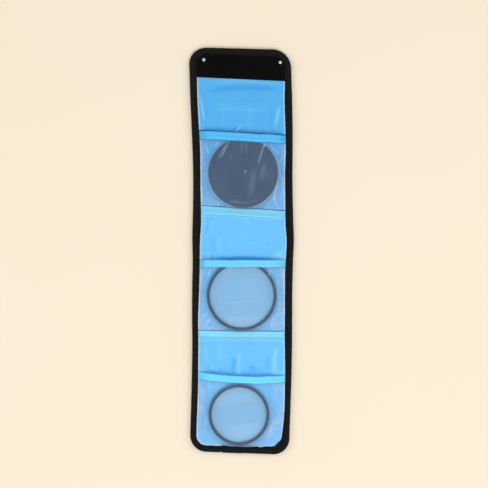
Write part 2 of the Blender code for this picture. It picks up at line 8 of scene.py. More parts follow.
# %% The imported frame
import json
import math
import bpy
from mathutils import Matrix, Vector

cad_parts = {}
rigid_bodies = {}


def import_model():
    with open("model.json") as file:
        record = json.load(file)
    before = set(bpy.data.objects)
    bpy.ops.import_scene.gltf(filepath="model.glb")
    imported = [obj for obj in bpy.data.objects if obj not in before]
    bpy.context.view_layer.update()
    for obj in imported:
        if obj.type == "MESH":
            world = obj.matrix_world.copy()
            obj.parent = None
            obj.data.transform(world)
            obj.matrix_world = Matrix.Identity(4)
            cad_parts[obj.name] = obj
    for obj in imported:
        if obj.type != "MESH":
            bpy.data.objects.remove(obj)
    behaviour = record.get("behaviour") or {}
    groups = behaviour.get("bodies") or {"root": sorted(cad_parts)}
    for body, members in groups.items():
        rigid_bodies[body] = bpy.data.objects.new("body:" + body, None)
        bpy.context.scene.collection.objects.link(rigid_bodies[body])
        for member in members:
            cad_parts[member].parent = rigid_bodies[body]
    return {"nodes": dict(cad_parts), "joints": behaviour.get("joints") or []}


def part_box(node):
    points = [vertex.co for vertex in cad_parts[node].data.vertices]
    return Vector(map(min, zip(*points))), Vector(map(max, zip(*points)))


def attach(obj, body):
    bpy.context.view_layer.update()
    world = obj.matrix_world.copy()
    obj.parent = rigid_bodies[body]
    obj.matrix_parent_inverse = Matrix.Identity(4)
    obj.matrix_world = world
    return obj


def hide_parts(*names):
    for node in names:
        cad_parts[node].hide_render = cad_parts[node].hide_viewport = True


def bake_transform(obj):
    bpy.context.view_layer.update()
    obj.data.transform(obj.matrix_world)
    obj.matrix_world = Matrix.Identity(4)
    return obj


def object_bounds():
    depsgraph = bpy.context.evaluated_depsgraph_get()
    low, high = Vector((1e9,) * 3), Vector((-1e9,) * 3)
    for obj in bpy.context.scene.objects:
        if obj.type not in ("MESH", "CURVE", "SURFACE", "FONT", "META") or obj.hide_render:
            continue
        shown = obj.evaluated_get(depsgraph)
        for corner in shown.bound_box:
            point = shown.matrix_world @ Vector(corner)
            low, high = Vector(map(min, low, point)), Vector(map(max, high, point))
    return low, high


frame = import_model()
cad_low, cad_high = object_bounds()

from types import SimpleNamespace

import bpy
import numpy as np
from mathutils import Vector

# %% [markdown]
# ## Places and levels from the frame
#
# The real case is sewn from layers, and every layer's height is already settled in the frame.  Reading
# the heights from the frame's boxes, not typing them again, keeps this script right when a size changes.
# The folds are the hinges.  Each fold joins a lower and a higher body along the strip.

# %% Levels, folds and the strip's outline
MM = 0.001
COVER_BOTTOM, COVER_TOP = (corner.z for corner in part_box("cover_middle_panel"))
LINING_BOTTOM, LINING_TOP = (corner.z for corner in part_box("lining_middle_panel"))
SEWN_ON, FILM_TOP = (corner.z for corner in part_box("pocket_film_upper"))
TAPE_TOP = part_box("mouth_tape_upper")[1].z
SEAM_TAPE_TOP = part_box("seam_tape_upper")[1].z
BINDING_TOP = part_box("binding_flap")[1].z
BINDING_INNER, HALF_WIDTH = (corner.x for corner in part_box("binding_middle_panel_right"))
TOP_CORNER = 0.018
BOTTOM_CORNER = 0.016
BEND = 0.005
LAYER_INSET = 0.0008
STRIP_WIDTH = 2 * (HALF_WIDTH - LAYER_INSET)
STRIP_LENGTH = cad_high.y - cad_low.y - 2 * LAYER_INSET


def middle_y(body):
    """The middle of a panel or spine along the strip."""
    low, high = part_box("lining_" + body)
    return (low.y + high.y) / 2


FOLDS = sorted(
    (joint["pos_m"][1], *sorted((joint["parent"], joint["child"]), key=middle_y))
    for joint in frame["joints"] if joint["type"] == "hinge"
)
CREASES = [crease for crease, _, _ in FOLDS]
CUTS = [(a + b) / 2 for a, b in zip(CREASES, CREASES[1:])]
SPANS = list(zip([cad_low.y - BEND] + CUTS, CUTS + [cad_high.y + BEND]))
for (crease, lower, higher), span in zip(FOLDS, SPANS):
    print(f"fold {lower} to {higher} at {crease:.4f}, piece from {span[0]:.4f} to {span[1]:.4f}")

# %% [markdown]
# ## How the strip really lies
#
# A strip that is cut straight and sewn by hand never lies quite straight.  This one bows a little to the
# right in its middle, swells where its wide fold is, and its seams run a degree or two askew.  One small
# function says where a place on the straight strip lies, and every cloth piece goes through it, so that
# neighbouring pieces bend alike and stay together.

# %% Smooth steps, humps and curves
def ramp(value, start, end):
    """Rises smoothly from 0 at start to 1 at end."""
    share = np.clip((value - start) / (end - start), 0.0, 1.0)
    return share * share * (3 - 2 * share)


def bell(value, middle, reach):
    """A smooth hump, 1 in the middle."""
    return np.exp(-(((value - middle) / reach) ** 2))


def curve(value, places, heights):
    """A smooth curve through the given heights, level beyond its ends."""
    places, heights = np.array(places), np.array(heights)
    slopes = np.gradient(heights, places)
    value = np.clip(value, places[0], places[-1])
    i = np.clip(np.searchsorted(places, value) - 1, 0, len(places) - 2)
    run = places[i + 1] - places[i]
    t = (value - places[i]) / run
    near = heights[i] * (1 + 2 * t) + run * slopes[i] * t
    far = heights[i + 1] * (3 - 2 * t) - run * slopes[i + 1] * (1 - t)
    return near * (1 - t) ** 2 + far * t * t


# %% Where a place on the strip lies
# Places along the strip, how far its middle lies to the side there, and its half width there, in mm
ALONG = (-202, -181, -155, -125, -95, -67, -35, -10, 11, 35, 75, 116, 150, 180, 202)
SIDEWAYS = (-2.50, -2.05, -1.20, -0.37, 0.16, 0.11, 0.32, 0.87, 1.10, 1.05, 0.80, 0.24, -0.75, -1.65, -2.20)
HALF_WIDTHS = (49.6, 49.6, 49.7, 49.8, 49.9, 50.1, 50.1, 50.2, 50.8, 50.2, 49.7, 50.5, 51.0, 51.0, 51.1)
SLOPE_PLACES = (-0.202, -0.125, -0.085, -0.010, 0.035, 0.118, 0.172, 0.202)
SLOPES = (0.036, 0.040, 0.010, 0.0, 0.060, 0.055, 0.046, 0.026)
LENGTHENED = 1.0018


def lay(u, v):
    """Where the place u across and v along the straight strip lies."""
    middle = curve(v / MM, ALONG, SIDEWAYS) * MM
    share = curve(v / MM, ALONG, HALF_WIDTHS) * MM / HALF_WIDTH
    return middle + u * share, v * LENGTHENED - np.interp(v, SLOPE_PLACES, SLOPES) * u


print("the top's middle lies at", lay(0.0, cad_high.y), "and the bottom's at", lay(0.0, cad_low.y))

# %% [markdown]
# ## Helpers for meshes
#
# An operator acts on all that is selected, so one helper selects a single object first.  A cloth starts
# as a flat grid, as it does on the cutting table.  Its UV map holds the flat cloth's own metres, so that
# a weave follows the thread however the cloth is folded later.

# %% Selecting, reading and moving points
def only(obj):
    """Selects one object alone and makes it active."""
    bpy.ops.object.select_all(action="DESELECT")
    obj.select_set(True)
    bpy.context.view_layer.objects.active = obj
    return obj


def points(obj):
    """The object's vertices as an array of rows."""
    flat = np.empty(len(obj.data.vertices) * 3)
    obj.data.vertices.foreach_get("co", flat)
    return flat.reshape(-1, 3)


def move_points(obj, rows):
    """Puts the vertices at new places."""
    obj.data.vertices.foreach_set("co", np.asarray(rows, float).ravel())
    obj.data.update()


def from_rows(name, rows, edges=(), faces=()):
    """A new object from vertices, edges and faces, selected alone."""
    mesh = bpy.data.meshes.new(name)
    mesh.from_pydata(rows, edges, faces)
    obj = bpy.data.objects.new(name, mesh)
    bpy.context.scene.collection.objects.link(obj)
    return only(obj)


def finish_with(obj, kind, **settings):
    """Adds a modifier, sets it and applies it."""
    only(obj)
    modifier = obj.modifiers.new(kind.lower(), kind)
    for key, value in settings.items():
        setattr(modifier, key, value)
    bpy.ops.object.modifier_apply(modifier=modifier.name)


def facing_out(obj, sharp=50):
    """Turns all faces outwards and shades them smooth, but for edges sharper than that many degrees."""
    only(obj)
    bpy.ops.object.mode_set(mode="EDIT")
    bpy.ops.mesh.select_all(action="SELECT")
    bpy.ops.mesh.normals_make_consistent(inside=False)
    bpy.ops.object.mode_set(mode="OBJECT")
    bpy.ops.object.shade_smooth_by_angle(angle=math.radians(sharp))
    return obj


def write_fields(obj, **fields):
    """Stores numbers for each vertex under names that a material can read."""
    for name, values in fields.items():
        made = obj.data.attributes.new(name, "FLOAT", "POINT")
        made.data.foreach_set("value", np.asarray(values, np.float32))


def thicken(obj, x, y, z, thickness, side, **fields):
    """Lays a cloth's points and makes the cloth thicker, upwards for a side of 1, downwards for -1."""
    move_points(obj, np.column_stack([x, y, np.broadcast_to(z, x.shape)]))
    write_fields(obj, **fields)
    finish_with(obj, "SOLIDIFY", thickness=thickness, offset=float(side))
    facing_out(obj)
    print(obj.name, len(obj.data.polygons), "faces")


bpy.ops.object.select_all(action="DESELECT")

# %% A cloth as it is cut: a flat grid
def cut_cloth(name, width, length, step, columns=None):
    """A flat grid, and each vertex's shares across and along it, from 0 to 1."""
    across = columns or max(2, round(width / step))
    along = max(2, round(length / step))
    bpy.ops.mesh.primitive_grid_add(x_subdivisions=across, y_subdivisions=along, size=1.0)
    obj = bpy.context.object
    obj.name = obj.data.name = name
    shares = points(obj)[:, :2] + 0.5
    corner = np.empty(len(obj.data.loops), int)
    obj.data.loops.foreach_get("vertex_index", corner)
    obj.data.uv_layers.active.data.foreach_set("uv", (shares[corner] * (width, length)).ravel())
    return obj, shares[:, 0], shares[:, 1]


def round_off(u, v, inset):
    """Draws the square corners of a grid in to the case's round ones."""
    for way, end, corner in ((1.0, cad_high.y, TOP_CORNER), (-1.0, -cad_low.y, BOTTOM_CORNER)):
        corner = corner - inset
        a = np.clip((np.abs(u) - (HALF_WIDTH - inset - corner)) / corner, 0.0, 1.0)
        b = np.clip((way * v - (end - inset - corner)) / corner, 0.0, 1.0)
        du = corner * a * (np.sqrt(1 - b * b / 2) - 1)
        dv = corner * b * (np.sqrt(1 - a * a / 2) - 1)
        u, v = u + np.sign(u) * du, v + way * dv
    return u, v


def strip_cloth(name, step):
    """A cloth as large as the strip: its places when cut, and where they lie."""
    obj, across, along = cut_cloth(name, STRIP_WIDTH, STRIP_LENGTH, step)
    u, v = round_off((across - 0.5) * STRIP_WIDTH, (along - 0.5) * STRIP_LENGTH, LAYER_INSET)
    return obj, u, v, *lay(u, v)


# %% Long pieces cut at the folds
def bend_at(piece, crease, lower, higher, slot):
    """Bakes a piece's place into its mesh."""
    crease - BEND
    crease + BEND
    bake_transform(piece)


def hang_on_folds(obj, material, layer, slot):
    """Cuts a long piece between its folds, and lets each stretch stand for that layer's nodes."""
    obj.data.materials.append(material)
    pieces = []
    for fold, span in zip(FOLDS, SPANS):
        only(obj)
        bpy.ops.object.duplicate()
        piece = bpy.context.object
        piece.name = piece.data.name = f"{obj.name}_{fold[1]}_to_{fold[2]}"
        bpy.ops.object.mode_set(mode="EDIT")
        for place, direction in zip(span, (-1.0, 1.0)):
            bpy.ops.mesh.select_all(action="SELECT")
            bpy.ops.mesh.bisect(
                plane_co=(0.0, place, 0.0), plane_no=(0.0, direction, 0.0), use_fill=True, clear_outer=True
            )
        bpy.ops.object.mode_set(mode="OBJECT")
        bpy.ops.object.shade_smooth_by_angle(angle=math.radians(50))
        bodies = fold[1:] if fold is FOLDS[-1] else fold[1:2]
        names = [f"{layer}_{body}{side}" for body in bodies for side in ("", "_left", "_right")]
        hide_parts(*[node for node in frame["nodes"] if node in names])
        bend_at(piece, *fold, slot)
        pieces.append(piece)
    bpy.data.objects.remove(obj, do_unlink=True)
    return pieces


def dress(piece, material, body, node=None):
    """Gives a piece its finish, the node that it stands for and the body that it rides on."""
    piece.data.materials.append(material)
    if node:
        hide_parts(node)
    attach(piece, body)


# %% [markdown]
# ## Helpers for materials
#
# A material is a sum of patterns: a weave, some uneven dye, some wear.  Written as node links such sums
# are hard to read, so a small class wraps an output socket, and adding or multiplying two of them adds
# the Math node.  Everything else comes from one method, which takes a node's type, settings and inputs.

# %% Sockets that can be added and multiplied
class Wire:
    """One output socket.  Arithmetic on it adds Math nodes to its material."""

    def __init__(self, finish, socket):
        self.finish = finish
        self.socket = socket

    def math(self, operation, *values):
        inputs = dict(enumerate((self, *values)))
        return self.finish.node("ShaderNodeMath", {"operation": operation}, inputs)

    def __add__(self, other):
        return self.math("ADD", other)

    def __mul__(self, other):
        return self.math("MULTIPLY", other)

    def __sub__(self, other):
        return self.math("SUBTRACT", other)

    def __rsub__(self, other):
        return (self * -1.0) + other

    __radd__, __rmul__ = __add__, __mul__

    def clamp(self):
        return self.math("MAXIMUM", 0.0).math("MINIMUM", 1.0)

    def wave(self, period):
        """A sine that comes round again after each period."""
        return (self * (math.tau / period)).math("SINE")

    def between(self, start, end):
        """Rises smoothly from 0 at start to 1 at end."""
        settings = {"interpolation_type": "SMOOTHSTEP"}
        inputs = {"Value": self, "From Min": start, "From Max": end}
        return self.finish.node("ShaderNodeMapRange", settings, inputs)


def ink(red, green, blue):
    """A colour as a screen shows it, from 0 to 255, turned into the shader's own scale."""
    shares = [c / 255 for c in (red, green, blue)]
    return (*[((s + 0.055) / 1.055) ** 2.4 if s > 0.04045 else s / 12.92 for s in shares], 1.0)


class Finish:
    """A Principled material that is built up by expressions."""

    def __init__(self, name, **constants):
        self.material = bpy.data.materials.new(name)
        self.material.use_nodes = True
        self.tree = self.material.node_tree
        self.shader = self.tree.nodes["Principled BSDF"]
        self.put(**constants)

    def put(self, **inputs):
        """Sets or links the shader's inputs; an underscore stands for a space."""
        for key, value in inputs.items():
            self.plug(self.shader.inputs[key.replace("_", " ")], value)

    def plug(self, socket, value):
        if isinstance(value, Wire):
            self.tree.links.new(value.socket, socket)
        else:
            socket.default_value = value

    def node(self, kind, settings=None, inputs=None, output=0):
        """Adds a node with its settings and inputs, and gives one of its outputs."""
        made = self.tree.nodes.new(kind)
        for key, value in (settings or {}).items():
            setattr(made, key, value)
        for key, value in (inputs or {}).items():
            self.plug(made.inputs[key], value)
        return Wire(self, made.outputs[output])

    def two(self, place):
        """The first two numbers of a place."""
        return [self.node("ShaderNodeSeparateXYZ", None, {0: place}, output=i) for i in (0, 1)]

    def cloth_place(self):
        """The flat cloth's own two coordinates, in metres."""
        return self.two(self.node("ShaderNodeUVMap", {"uv_map": "UVMap"}))

    def object_place(self):
        return self.node("ShaderNodeTexCoord", output="Object")

    def field(self, name):
        """A number that the mesh stores for each vertex."""
        return self.node("ShaderNodeAttribute", {"attribute_name": name}, output="Fac")

    def noise(self, scale, detail=3.0, place=None):
        inputs = {"Vector": place or self.object_place(), "Scale": scale, "Detail": detail}
        return self.node("ShaderNodeTexNoise", None, inputs)

    def cloth_noise(self, across, along, detail=3.0):
        """Noise on the flat cloth, with that many spots to the metre across and along."""
        u, v = self.cloth_place()
        place = self.node("ShaderNodeCombineXYZ", None, {0: u * across, 1: v * along})
        return self.noise(1.0, detail, place)

    def weave(self, pitch):
        """A plain weave's height, from -1 to 1: over and under threads in a chequer of small domes."""
        u, v = self.cloth_place()
        return u.wave(2 * pitch) * v.wave(2 * pitch)

    def paint(self, base, *layers):
        """A base colour under further colours, each laid on by its own share."""
        colour = ink(*base)
        for share, over in layers:
            inputs = {0: share, 6: colour, 7: ink(*over)}
            colour = self.node("ShaderNodeMix", {"data_type": "RGBA"}, inputs, output=2)
        self.put(Base_Color=colour)

    def bump(self, height, distance, strength):
        inputs = {"Strength": strength, "Distance": distance, "Height": height}
        self.put(Normal=self.node("ShaderNodeBump", None, inputs))


# %% [markdown]
# ## Camera, light and floor
#
# The photo looks straight down on the case from far away.  A long lens from two metres gives the same
# flat view.  The light is a studio's: an even dome, and a large soft lamp from the lower side of the
# picture, whose shadow gives part of the darker band above each pocket's mouth; painted shade gives the
# rest.  Two more soft lamps stand at the sides, so that creases in the film catch a line of light, which
# painted highlights make stronger.

# %% The camera, as the photo was taken
VIEW_WIDTH = 0.488
CAMERA_HEIGHT = 2.0

bpy.ops.object.camera_add(location=(0.0020, 0.00675, LINING_TOP + CAMERA_HEIGHT), rotation=(0.0, 0.0, 0.0))
camera = bpy.context.object
camera.name = "camera"
camera.data.lens = camera.data.sensor_width * CAMERA_HEIGHT / VIEW_WIDTH
camera.data.clip_start = 0.05
scene = bpy.context.scene
scene.camera = camera
scene.view_settings.view_transform = "Standard"
print("lens", round(camera.data.lens, 1), "mm at", CAMERA_HEIGHT, "m")

# %% Lamps, dome and floor
DOME_LEVEL = 0.565
FLOOR_SIZE = 8.0
LAMPS = (
    ("key_lamp", (0.10, -0.90, 1.80), (1.10, 0.60), 14.0),
    ("left_lamp", (-1.35, 0.35, 1.20), (0.50, 1.00), 5.9),
    ("right_lamp", (1.35, 0.25, 1.20), (0.50, 1.00), 5.9),
)
for name, place, size, watts in LAMPS:
    aim = (-Vector(place)).to_track_quat("-Z", "Y").to_euler()
    bpy.ops.object.light_add(type="AREA", location=place, rotation=aim)
    lamp = bpy.context.object
    lamp.name = name
    lamp.data.shape = "RECTANGLE"
    lamp.data.size, lamp.data.size_y = size
    lamp.data.energy = watts

dome = bpy.data.worlds.new("soft_dome")
dome.use_nodes = True
dome.node_tree.nodes["Background"].inputs["Color"].default_value = (1.0, 1.0, 1.0, 1.0)
dome.node_tree.nodes["Background"].inputs["Strength"].default_value = DOME_LEVEL
scene.world = dome

bpy.ops.mesh.primitive_plane_add(size=FLOOR_SIZE, location=(0.0, 0.0, 0.0))
floor = bpy.context.object
floor.name = "floor"
paper = Finish("cream_paper", Roughness=0.9)
paper.paint((244, 232, 211), (paper.noise(3.0, 2.0), (241, 227, 203)))
floor.data.materials.append(paper.material)

# %% [markdown]
# ## The lining
#
# The lining is light blue nylon, a plain weave of about three threads to the millimetre.  It could be
# one flat box, but cloth over foam is never flat: it gives between its seams and keeps soft folds.  So
# it starts as a flat grid.  Its open stretches, between one pocket and the next, sink a little into the
# foam, and each fold that shows is a long low ridge with its own start, end, width and height.  The
# stretches below the pockets stay flat, because the filters lie there.  A filter that is pushed out of
# its pocket slides over an open stretch, so the ridges in its way end just below its rim.

# %% The stretches of lining that lie open
def mouth_of(name):
    """Where the frame puts a pocket's mouth."""
    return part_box("mouth_tape_" + name)[1].y


OPEN_STRETCHES = (
    (mouth_of("lower"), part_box("seam_tape_middle")[0].y),
    (mouth_of("middle"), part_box("seam_tape_upper")[0].y),
    (mouth_of("upper"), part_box("hook_strip")[0].y),
)
SINK = 0.00030
SINK_EDGE = 0.010
SINK_LIMIT = 0.00085
RIPPLE = 0.00010
GATHER = 0.00007
TRAVELS = {joint["child"]: joint["range_m"][1] for joint in frame["joints"] if joint["type"] == "slide"}
# The highest that cloth may stand in a filter's way, and how softly it is held down to that
RIM_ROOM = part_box("dark_filter_rim")[0].z - LINING_TOP - 0.00006
ROUNDING = 0.00008
PHOTO_MIDDLE = (241.5, 250.25)
# Each fold in the lining: its half width and its height in mm, negative for a valley, and the places on
# the photo that it runs through, in pixels across and down
LINING_FOLDS = (
    (2.7, -0.65, 204, 91, 220, 88, 240, 86.3, 262, 87, 282, 88.3), (2.2, 0.22, 206, 81, 240, 80, 280, 83.5),
    (1.1, 0.50, 199.6, 96, 201.4, 106, 203.9, 120), (1.4, -0.32, 202.5, 91, 205, 104, 207, 119),
    (1.6, 0.50, 278.6, 105, 277.4, 114, 273.9, 127), (2.0, -0.22, 271, 108, 270, 127),
    (0.8, 0.70, 241.2, 123.5, 238.6, 127, 235, 132), (1.1, -0.60, 237, 125.5, 231.5, 131),
    (1.8, -0.12, 208, 99.5, 276, 100.5), (2.0, 0.12, 210, 108, 272, 109.5), (2.0, 0.10, 222, 105, 222, 127),
    (2.4, 0.12, 250, 105, 249, 128), (0.6, 0.45, 241.3, 216.5, 244, 222), (0.7, 0.65, 245, 216, 248, 223.5),
    (1.0, 0.45, 202.5, 216, 205, 227), (1.4, -0.30, 207.5, 218, 206.5, 231), (2.2, 0.22, 218, 235, 219.5, 256),
    (2.0, -0.16, 212.5, 232, 213, 252), (0.7, 0.70, 208.9, 253, 208.2, 259.5),
    (0.9, -0.50, 211.2, 254.5, 212.2, 259.5), (1.0, 0.85, 285, 248.8, 279, 252.5, 271.5, 257.6),
    (3.8, 0.45, 283, 253.5, 276, 259), (1.3, 0.65, 239.8, 351, 238.2, 362, 238.2, 374),
    (2.2, -0.50, 233.5, 356, 232.5, 373), (2.1, 0.75, 276, 347, 273.6, 359, 274.4, 373),
    (2.2, -0.25, 267.5, 356, 266, 372), (3.0, -0.40, 248, 365, 257, 370),
    (0.7, -0.55, 207, 365, 210.5, 370.5, 216, 372.8), (1.0, 0.40, 209, 363, 213, 368.5, 219, 371),
    (1.6, 0.30, 204.5, 346, 205.5, 362), (2.4, 0.18, 219, 344, 221, 362),
)


def beside(x, y, pixels):
    """How far each place is from a path, and how far along it, as a share."""
    corners = (np.reshape(pixels, (-1, 2)) - PHOTO_MIDDLE) * (MM, -MM)
    runs = np.linalg.norm(np.diff(corners, axis=0), axis=1)
    total, done = runs.sum(), 0.0
    nearest, share = np.full_like(x, 1.0), np.zeros_like(x)
    for (sx, sy), (ex, ey), run in zip(corners, corners[1:], runs):
        held = np.clip(((x - sx) * (ex - sx) + (y - sy) * (ey - sy)) / run**2, 0.0, 1.0)
        away = np.hypot(x - sx - held * (ex - sx), y - sy - held * (ey - sy))
        closer = away < nearest
        nearest = np.where(closer, away, nearest)
        share = np.where(closer, (done + held * run) / total, share)
        done += run
    return nearest, share


def marks(x, y, table, fade):
    """The sum of long marks that fade out at both ends."""
    total = np.zeros_like(x)
    for reach, strength, *pixels in table:
        away, share = beside(x, y, pixels)
        total += strength * bell(away, 0.0, reach * MM) * ramp(share, fade, 0.30) * ramp(1 - share, fade, 0.30)
    return total


def ripples(x, y, length, seed, waves=14):
    """An even, unordered ripple between about -1 and 1."""
    random = np.random.default_rng(seed)
    limits = ((0, math.tau), (0, math.tau), (0.6, 1.6))
    total = np.zeros_like(x)
    for angle, phase, stretch in zip(*[random.uniform(*limit, waves) for limit in limits]):
        along = x * math.cos(angle) + y * math.sin(angle)
        total += np.sin(along * math.tau / (length * stretch) + phase)
    return total / math.sqrt(waves)


def open_share(v):
    """1 in the middle of an open stretch, 0 below the pockets."""
    return sum(ramp(v, low, low + SINK_EDGE) * ramp(-v, -high, -high + SINK_EDGE) for low, high in OPEN_STRETCHES)


def round_part(node):
    """A round part's middle, radius and two levels, from the frame."""
    low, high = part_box(node)
    return (low + high) / 2, (high.x - low.x) / 2, low.z, high.z


def in_the_way(x, y):
    """1 where a filter passes on its way out of its pocket, 0 beside it."""
    share = np.zeros_like(x)
    for name, travel in TRAVELS.items():
        middle, radius, _, _ = round_part(name + "_rim")
        away = np.hypot(x - middle.x, y - np.clip(y, middle.y, middle.y + travel))
        share = np.maximum(share, ramp(-away, -radius - 0.0045, -radius - 0.0012))
    return share


def lining_rise(u, v):
    """How far the lining stands above its flat level."""
    x, y = lay(u, v)
    inside = ramp(-np.abs(u), -0.0440, -0.0370)
    low_fold = 1 - 0.6 * sum(bell(v, crease, 0.004) for crease in CREASES)
    near_tapes = sum(bell(v, low, 0.009) + bell(v, high, 0.006) for low, high in OPEN_STRETCHES)
    gather = GATHER * ripples(x, y * 0.15, 0.006, 8) * near_tapes * inside
    give = open_share(v) * inside * (RIPPLE * ripples(x, y, 0.016, 5) + puckers(u, v) - SINK * low_fold)
    showing = sum((v > low - 0.004) & (v < high + 0.001) for low, high in OPEN_STRETCHES)
    folds = (marks(x, y, LINING_FOLDS, -0.12) * MM + gather) * showing * ramp(-np.abs(u), -0.0450, -0.0425)
    rise = np.maximum(give + folds, -SINK_LIMIT)
    lowered = RIM_ROOM - ROUNDING * np.log1p(np.exp((RIM_ROOM - rise) / ROUNDING))
    way = in_the_way(x, y)
    return rise * (1 - way) + np.minimum(rise, lowered) * way


# %% [markdown]
# ## Letting the lining pucker
#
# Foam carries the lining wherever no seam holds it down, and the cloth answers with small puckers
# beside the seams.  The Cloth solver is given a coarse sheet with a little spare length, held at the
# binding and under the pockets.  Its heights are kept as a table that the finer lining looks up, so
# that the foam below can follow the same shape.  Cloth thinks in metres, so it works at ten times size.

# %% A solver for sheets with spare length
SIM_SCALE = 10.0
SIM_FRAMES = 24


def settle(obj, pinned, spare, stiffness, bending, pull):
    """Gives a sheet spare length, lets Cloth find where it goes, and gives its points before and after."""
    rest = points(obj)
    move_points(obj, rest * SIM_SCALE)
    group = obj.vertex_groups.new(name="pinned")
    group.add(np.flatnonzero(pinned).tolist(), 1.0, "REPLACE")
    only(obj)
    modifier = obj.modifiers.new("cloth", "CLOTH")
    cloth = modifier.settings
    cloth.quality = 6
    cloth.mass = 0.25
    cloth.tension_stiffness = cloth.compression_stiffness = stiffness
    cloth.shear_stiffness = stiffness * 0.6
    cloth.bending_stiffness = bending
    cloth.vertex_group_mass = "pinned"
    cloth.shrink_min = -spare
    cloth.effector_weights.gravity = pull
    modifier.collision_settings.use_collision = False
    for frame_number in range(1, SIM_FRAMES + 1):
        scene.frame_set(frame_number)
    bpy.ops.object.modifier_apply(modifier=modifier.name)
    scene.frame_set(1)
    obj.vertex_groups.remove(obj.vertex_groups["pinned"])
    moved = points(obj) / SIM_SCALE
    print(obj.name, "moved by up to", round(float(np.abs(moved - rest).max()) / MM, 2), "mm")
    return rest, moved


# %% The lining's puckers
PUCKER_STEP = 0.0018
PUCKER_SPARE = 0.012
PUCKER_LIMIT = 0.00035


def columns_of(across):
    """How many vertices a grid has side by side."""
    return np.unique(np.round(across, 6)).size


def pucker_table():
    """Heights of a simulated sheet, with the grid that they stand on."""
    width, length = 2 * HALF_WIDTH, cad_high.y - cad_low.y
    sheet, across, along = cut_cloth("pucker_trial", width, length, PUCKER_STEP)
    u, v = (across - 0.5) * width, (along - 0.5) * length
    move_points(sheet, np.column_stack([u, v, 0.0004 * open_share(v) * ripples(u, v, 0.012, 17)]))
    held = (np.abs(u) > 0.0432) | (open_share(v) < 0.02)
    _, moved = settle(sheet, held, PUCKER_SPARE, 20.0, 0.6, -0.02)
    bpy.data.objects.remove(sheet, do_unlink=True)
    height = moved[:, 2].reshape(-1, columns_of(across))
    for _ in range(2):
        beside_each = height[:-2, 1:-1] + height[2:, 1:-1] + height[1:-1, :-2] + height[1:-1, 2:]
        height[1:-1, 1:-1] = (height[1:-1, 1:-1] * 4 + beside_each) / 8
    return height


PUCKERS = pucker_table()


def puckers(u, v):
    """The simulated height at each place, looked up between the grid's points."""
    if PUCKERS is None:
        return np.zeros_like(u)
    rows, columns = PUCKERS.shape
    along = np.clip((v - cad_low.y) / (cad_high.y - cad_low.y), 0, 1) * (rows - 1)
    across = np.clip(u / (2 * HALF_WIDTH) + 0.5, 0, 1) * (columns - 1)
    i, j = np.minimum(along.astype(int), rows - 2), np.minimum(across.astype(int), columns - 2)
    a, b = along - i, across - j
    low = PUCKERS[i, j] * (1 - b) + PUCKERS[i, j + 1] * b
    high = PUCKERS[i + 1, j] * (1 - b) + PUCKERS[i + 1, j + 1] * b
    return np.clip(low * (1 - a) + high * a, -PUCKER_LIMIT, PUCKER_LIMIT)


# %% Distances from the binding and from the pockets' mouths
# Places along the strip, and how much of the binding shows there on its two sides, in mm
EDGE_PLACES = (-202, -180, -155, -139, -110, -95, -67, -40, -22, -5, 11, 25, 44, 60, 80, 100, 130, 150, 173, 202)
LEFT_WIDTHS = (6.6, 6.2, 6.4, 6.5, 6.1, 6.1, 6.1, 6.9, 7.1, 7.1, 7.7, 8.3, 7.8, 7.3, 7.4, 7.7, 7.1, 7.0, 7.2, 6.6)
RIGHT_WIDTHS = (6.7, 6.8, 6.0, 6.2, 6.7, 7.3, 7.3, 7.3, 7.6, 7.2, 7.1, 7.8, 7.6, 7.5, 7.4, 6.9, 7.3, 7.5, 6.5, 6.6)
# The binding is drawn in further at the bottom right corner, by this much in mm
FULL_CORNER = 3.2
# Each mouth: the tape's width, how far its edge lies off the frame's place, its sag and how far its painted
# shade reaches, all in mm, and how strong the painted shade and the painted shadow line at the tape's edge are
MOUTHS = {
    "upper": (7.9, -0.80, 0.0, 3.0, 0.10, 1.00),
    "middle": (6.9, 0.3, 0.0, 4.2, 0.72, 0.35),
    "lower": (6.7, 0.1, 2.0, 7.5, 0.30, 0.20),
}
# How deep each mouth's shade is at places across the case, in mm
SHADE_PLACES = (-44, -37, -30, -27, -20, -8, -4, 2, 12, 24, 29, 31, 38, 44)
MOUTH_SHADES = {
    "upper": (0.1, 0.2, 0.35, 0.5, 0.7, 1.0, 1.0, 0.8, 0.8, 0.8, 0.6, 0.5, 0.0, 0.0),
    "middle": (0.0, 0.0, 0.1, 0.35, 0.8, 1.0, 1.0, 1.0, 0.95, 0.7, 0.35, 0.05, 0.0, 0.0),
    "lower": (0.0, 0.15, 0.6, 0.8, 1.0, 0.8, 0.15, 0.85, 1.0, 0.75, 0.45, 0.3, 0.0, 0.0),
}


def visible_width(u, v):
    """How much of the binding shows, which differs along its two sides."""
    left, right = (curve(v / MM, EDGE_PLACES, widths) for widths in (LEFT_WIDTHS, RIGHT_WIDTHS))
    right = right + FULL_CORNER * bell(np.hypot(u - 0.0465, v + 0.1985), 0.0, 0.0145)
    return (left + (right - left) * ramp(u, -0.02, 0.02)) * MM


def from_binding(u, v):
    """How far inside the binding's inner edge a place lies."""
    side, top, bottom = HALF_WIDTH - np.abs(u), cad_high.y - v, v - cad_low.y
    inside = np.minimum(side, np.minimum(top, bottom))
    for end, corner in ((top, TOP_CORNER), (bottom, BOTTOM_CORNER)):
        rounded = corner - np.hypot(np.maximum(corner - side, 0), np.maximum(corner - end, 0))
        inside = np.where((side < corner) & (end < corner), rounded, inside)
    return inside - visible_width(u, v)


def mouth_line(u, name):
    """Where a pocket's mouth lies, across the case."""
    _, off, sag, *_ = MOUTHS[name]
    return lay(u, np.full_like(u, mouth_of(name) + off * MM))[1] + sag * MM * (u / 0.040) ** 2


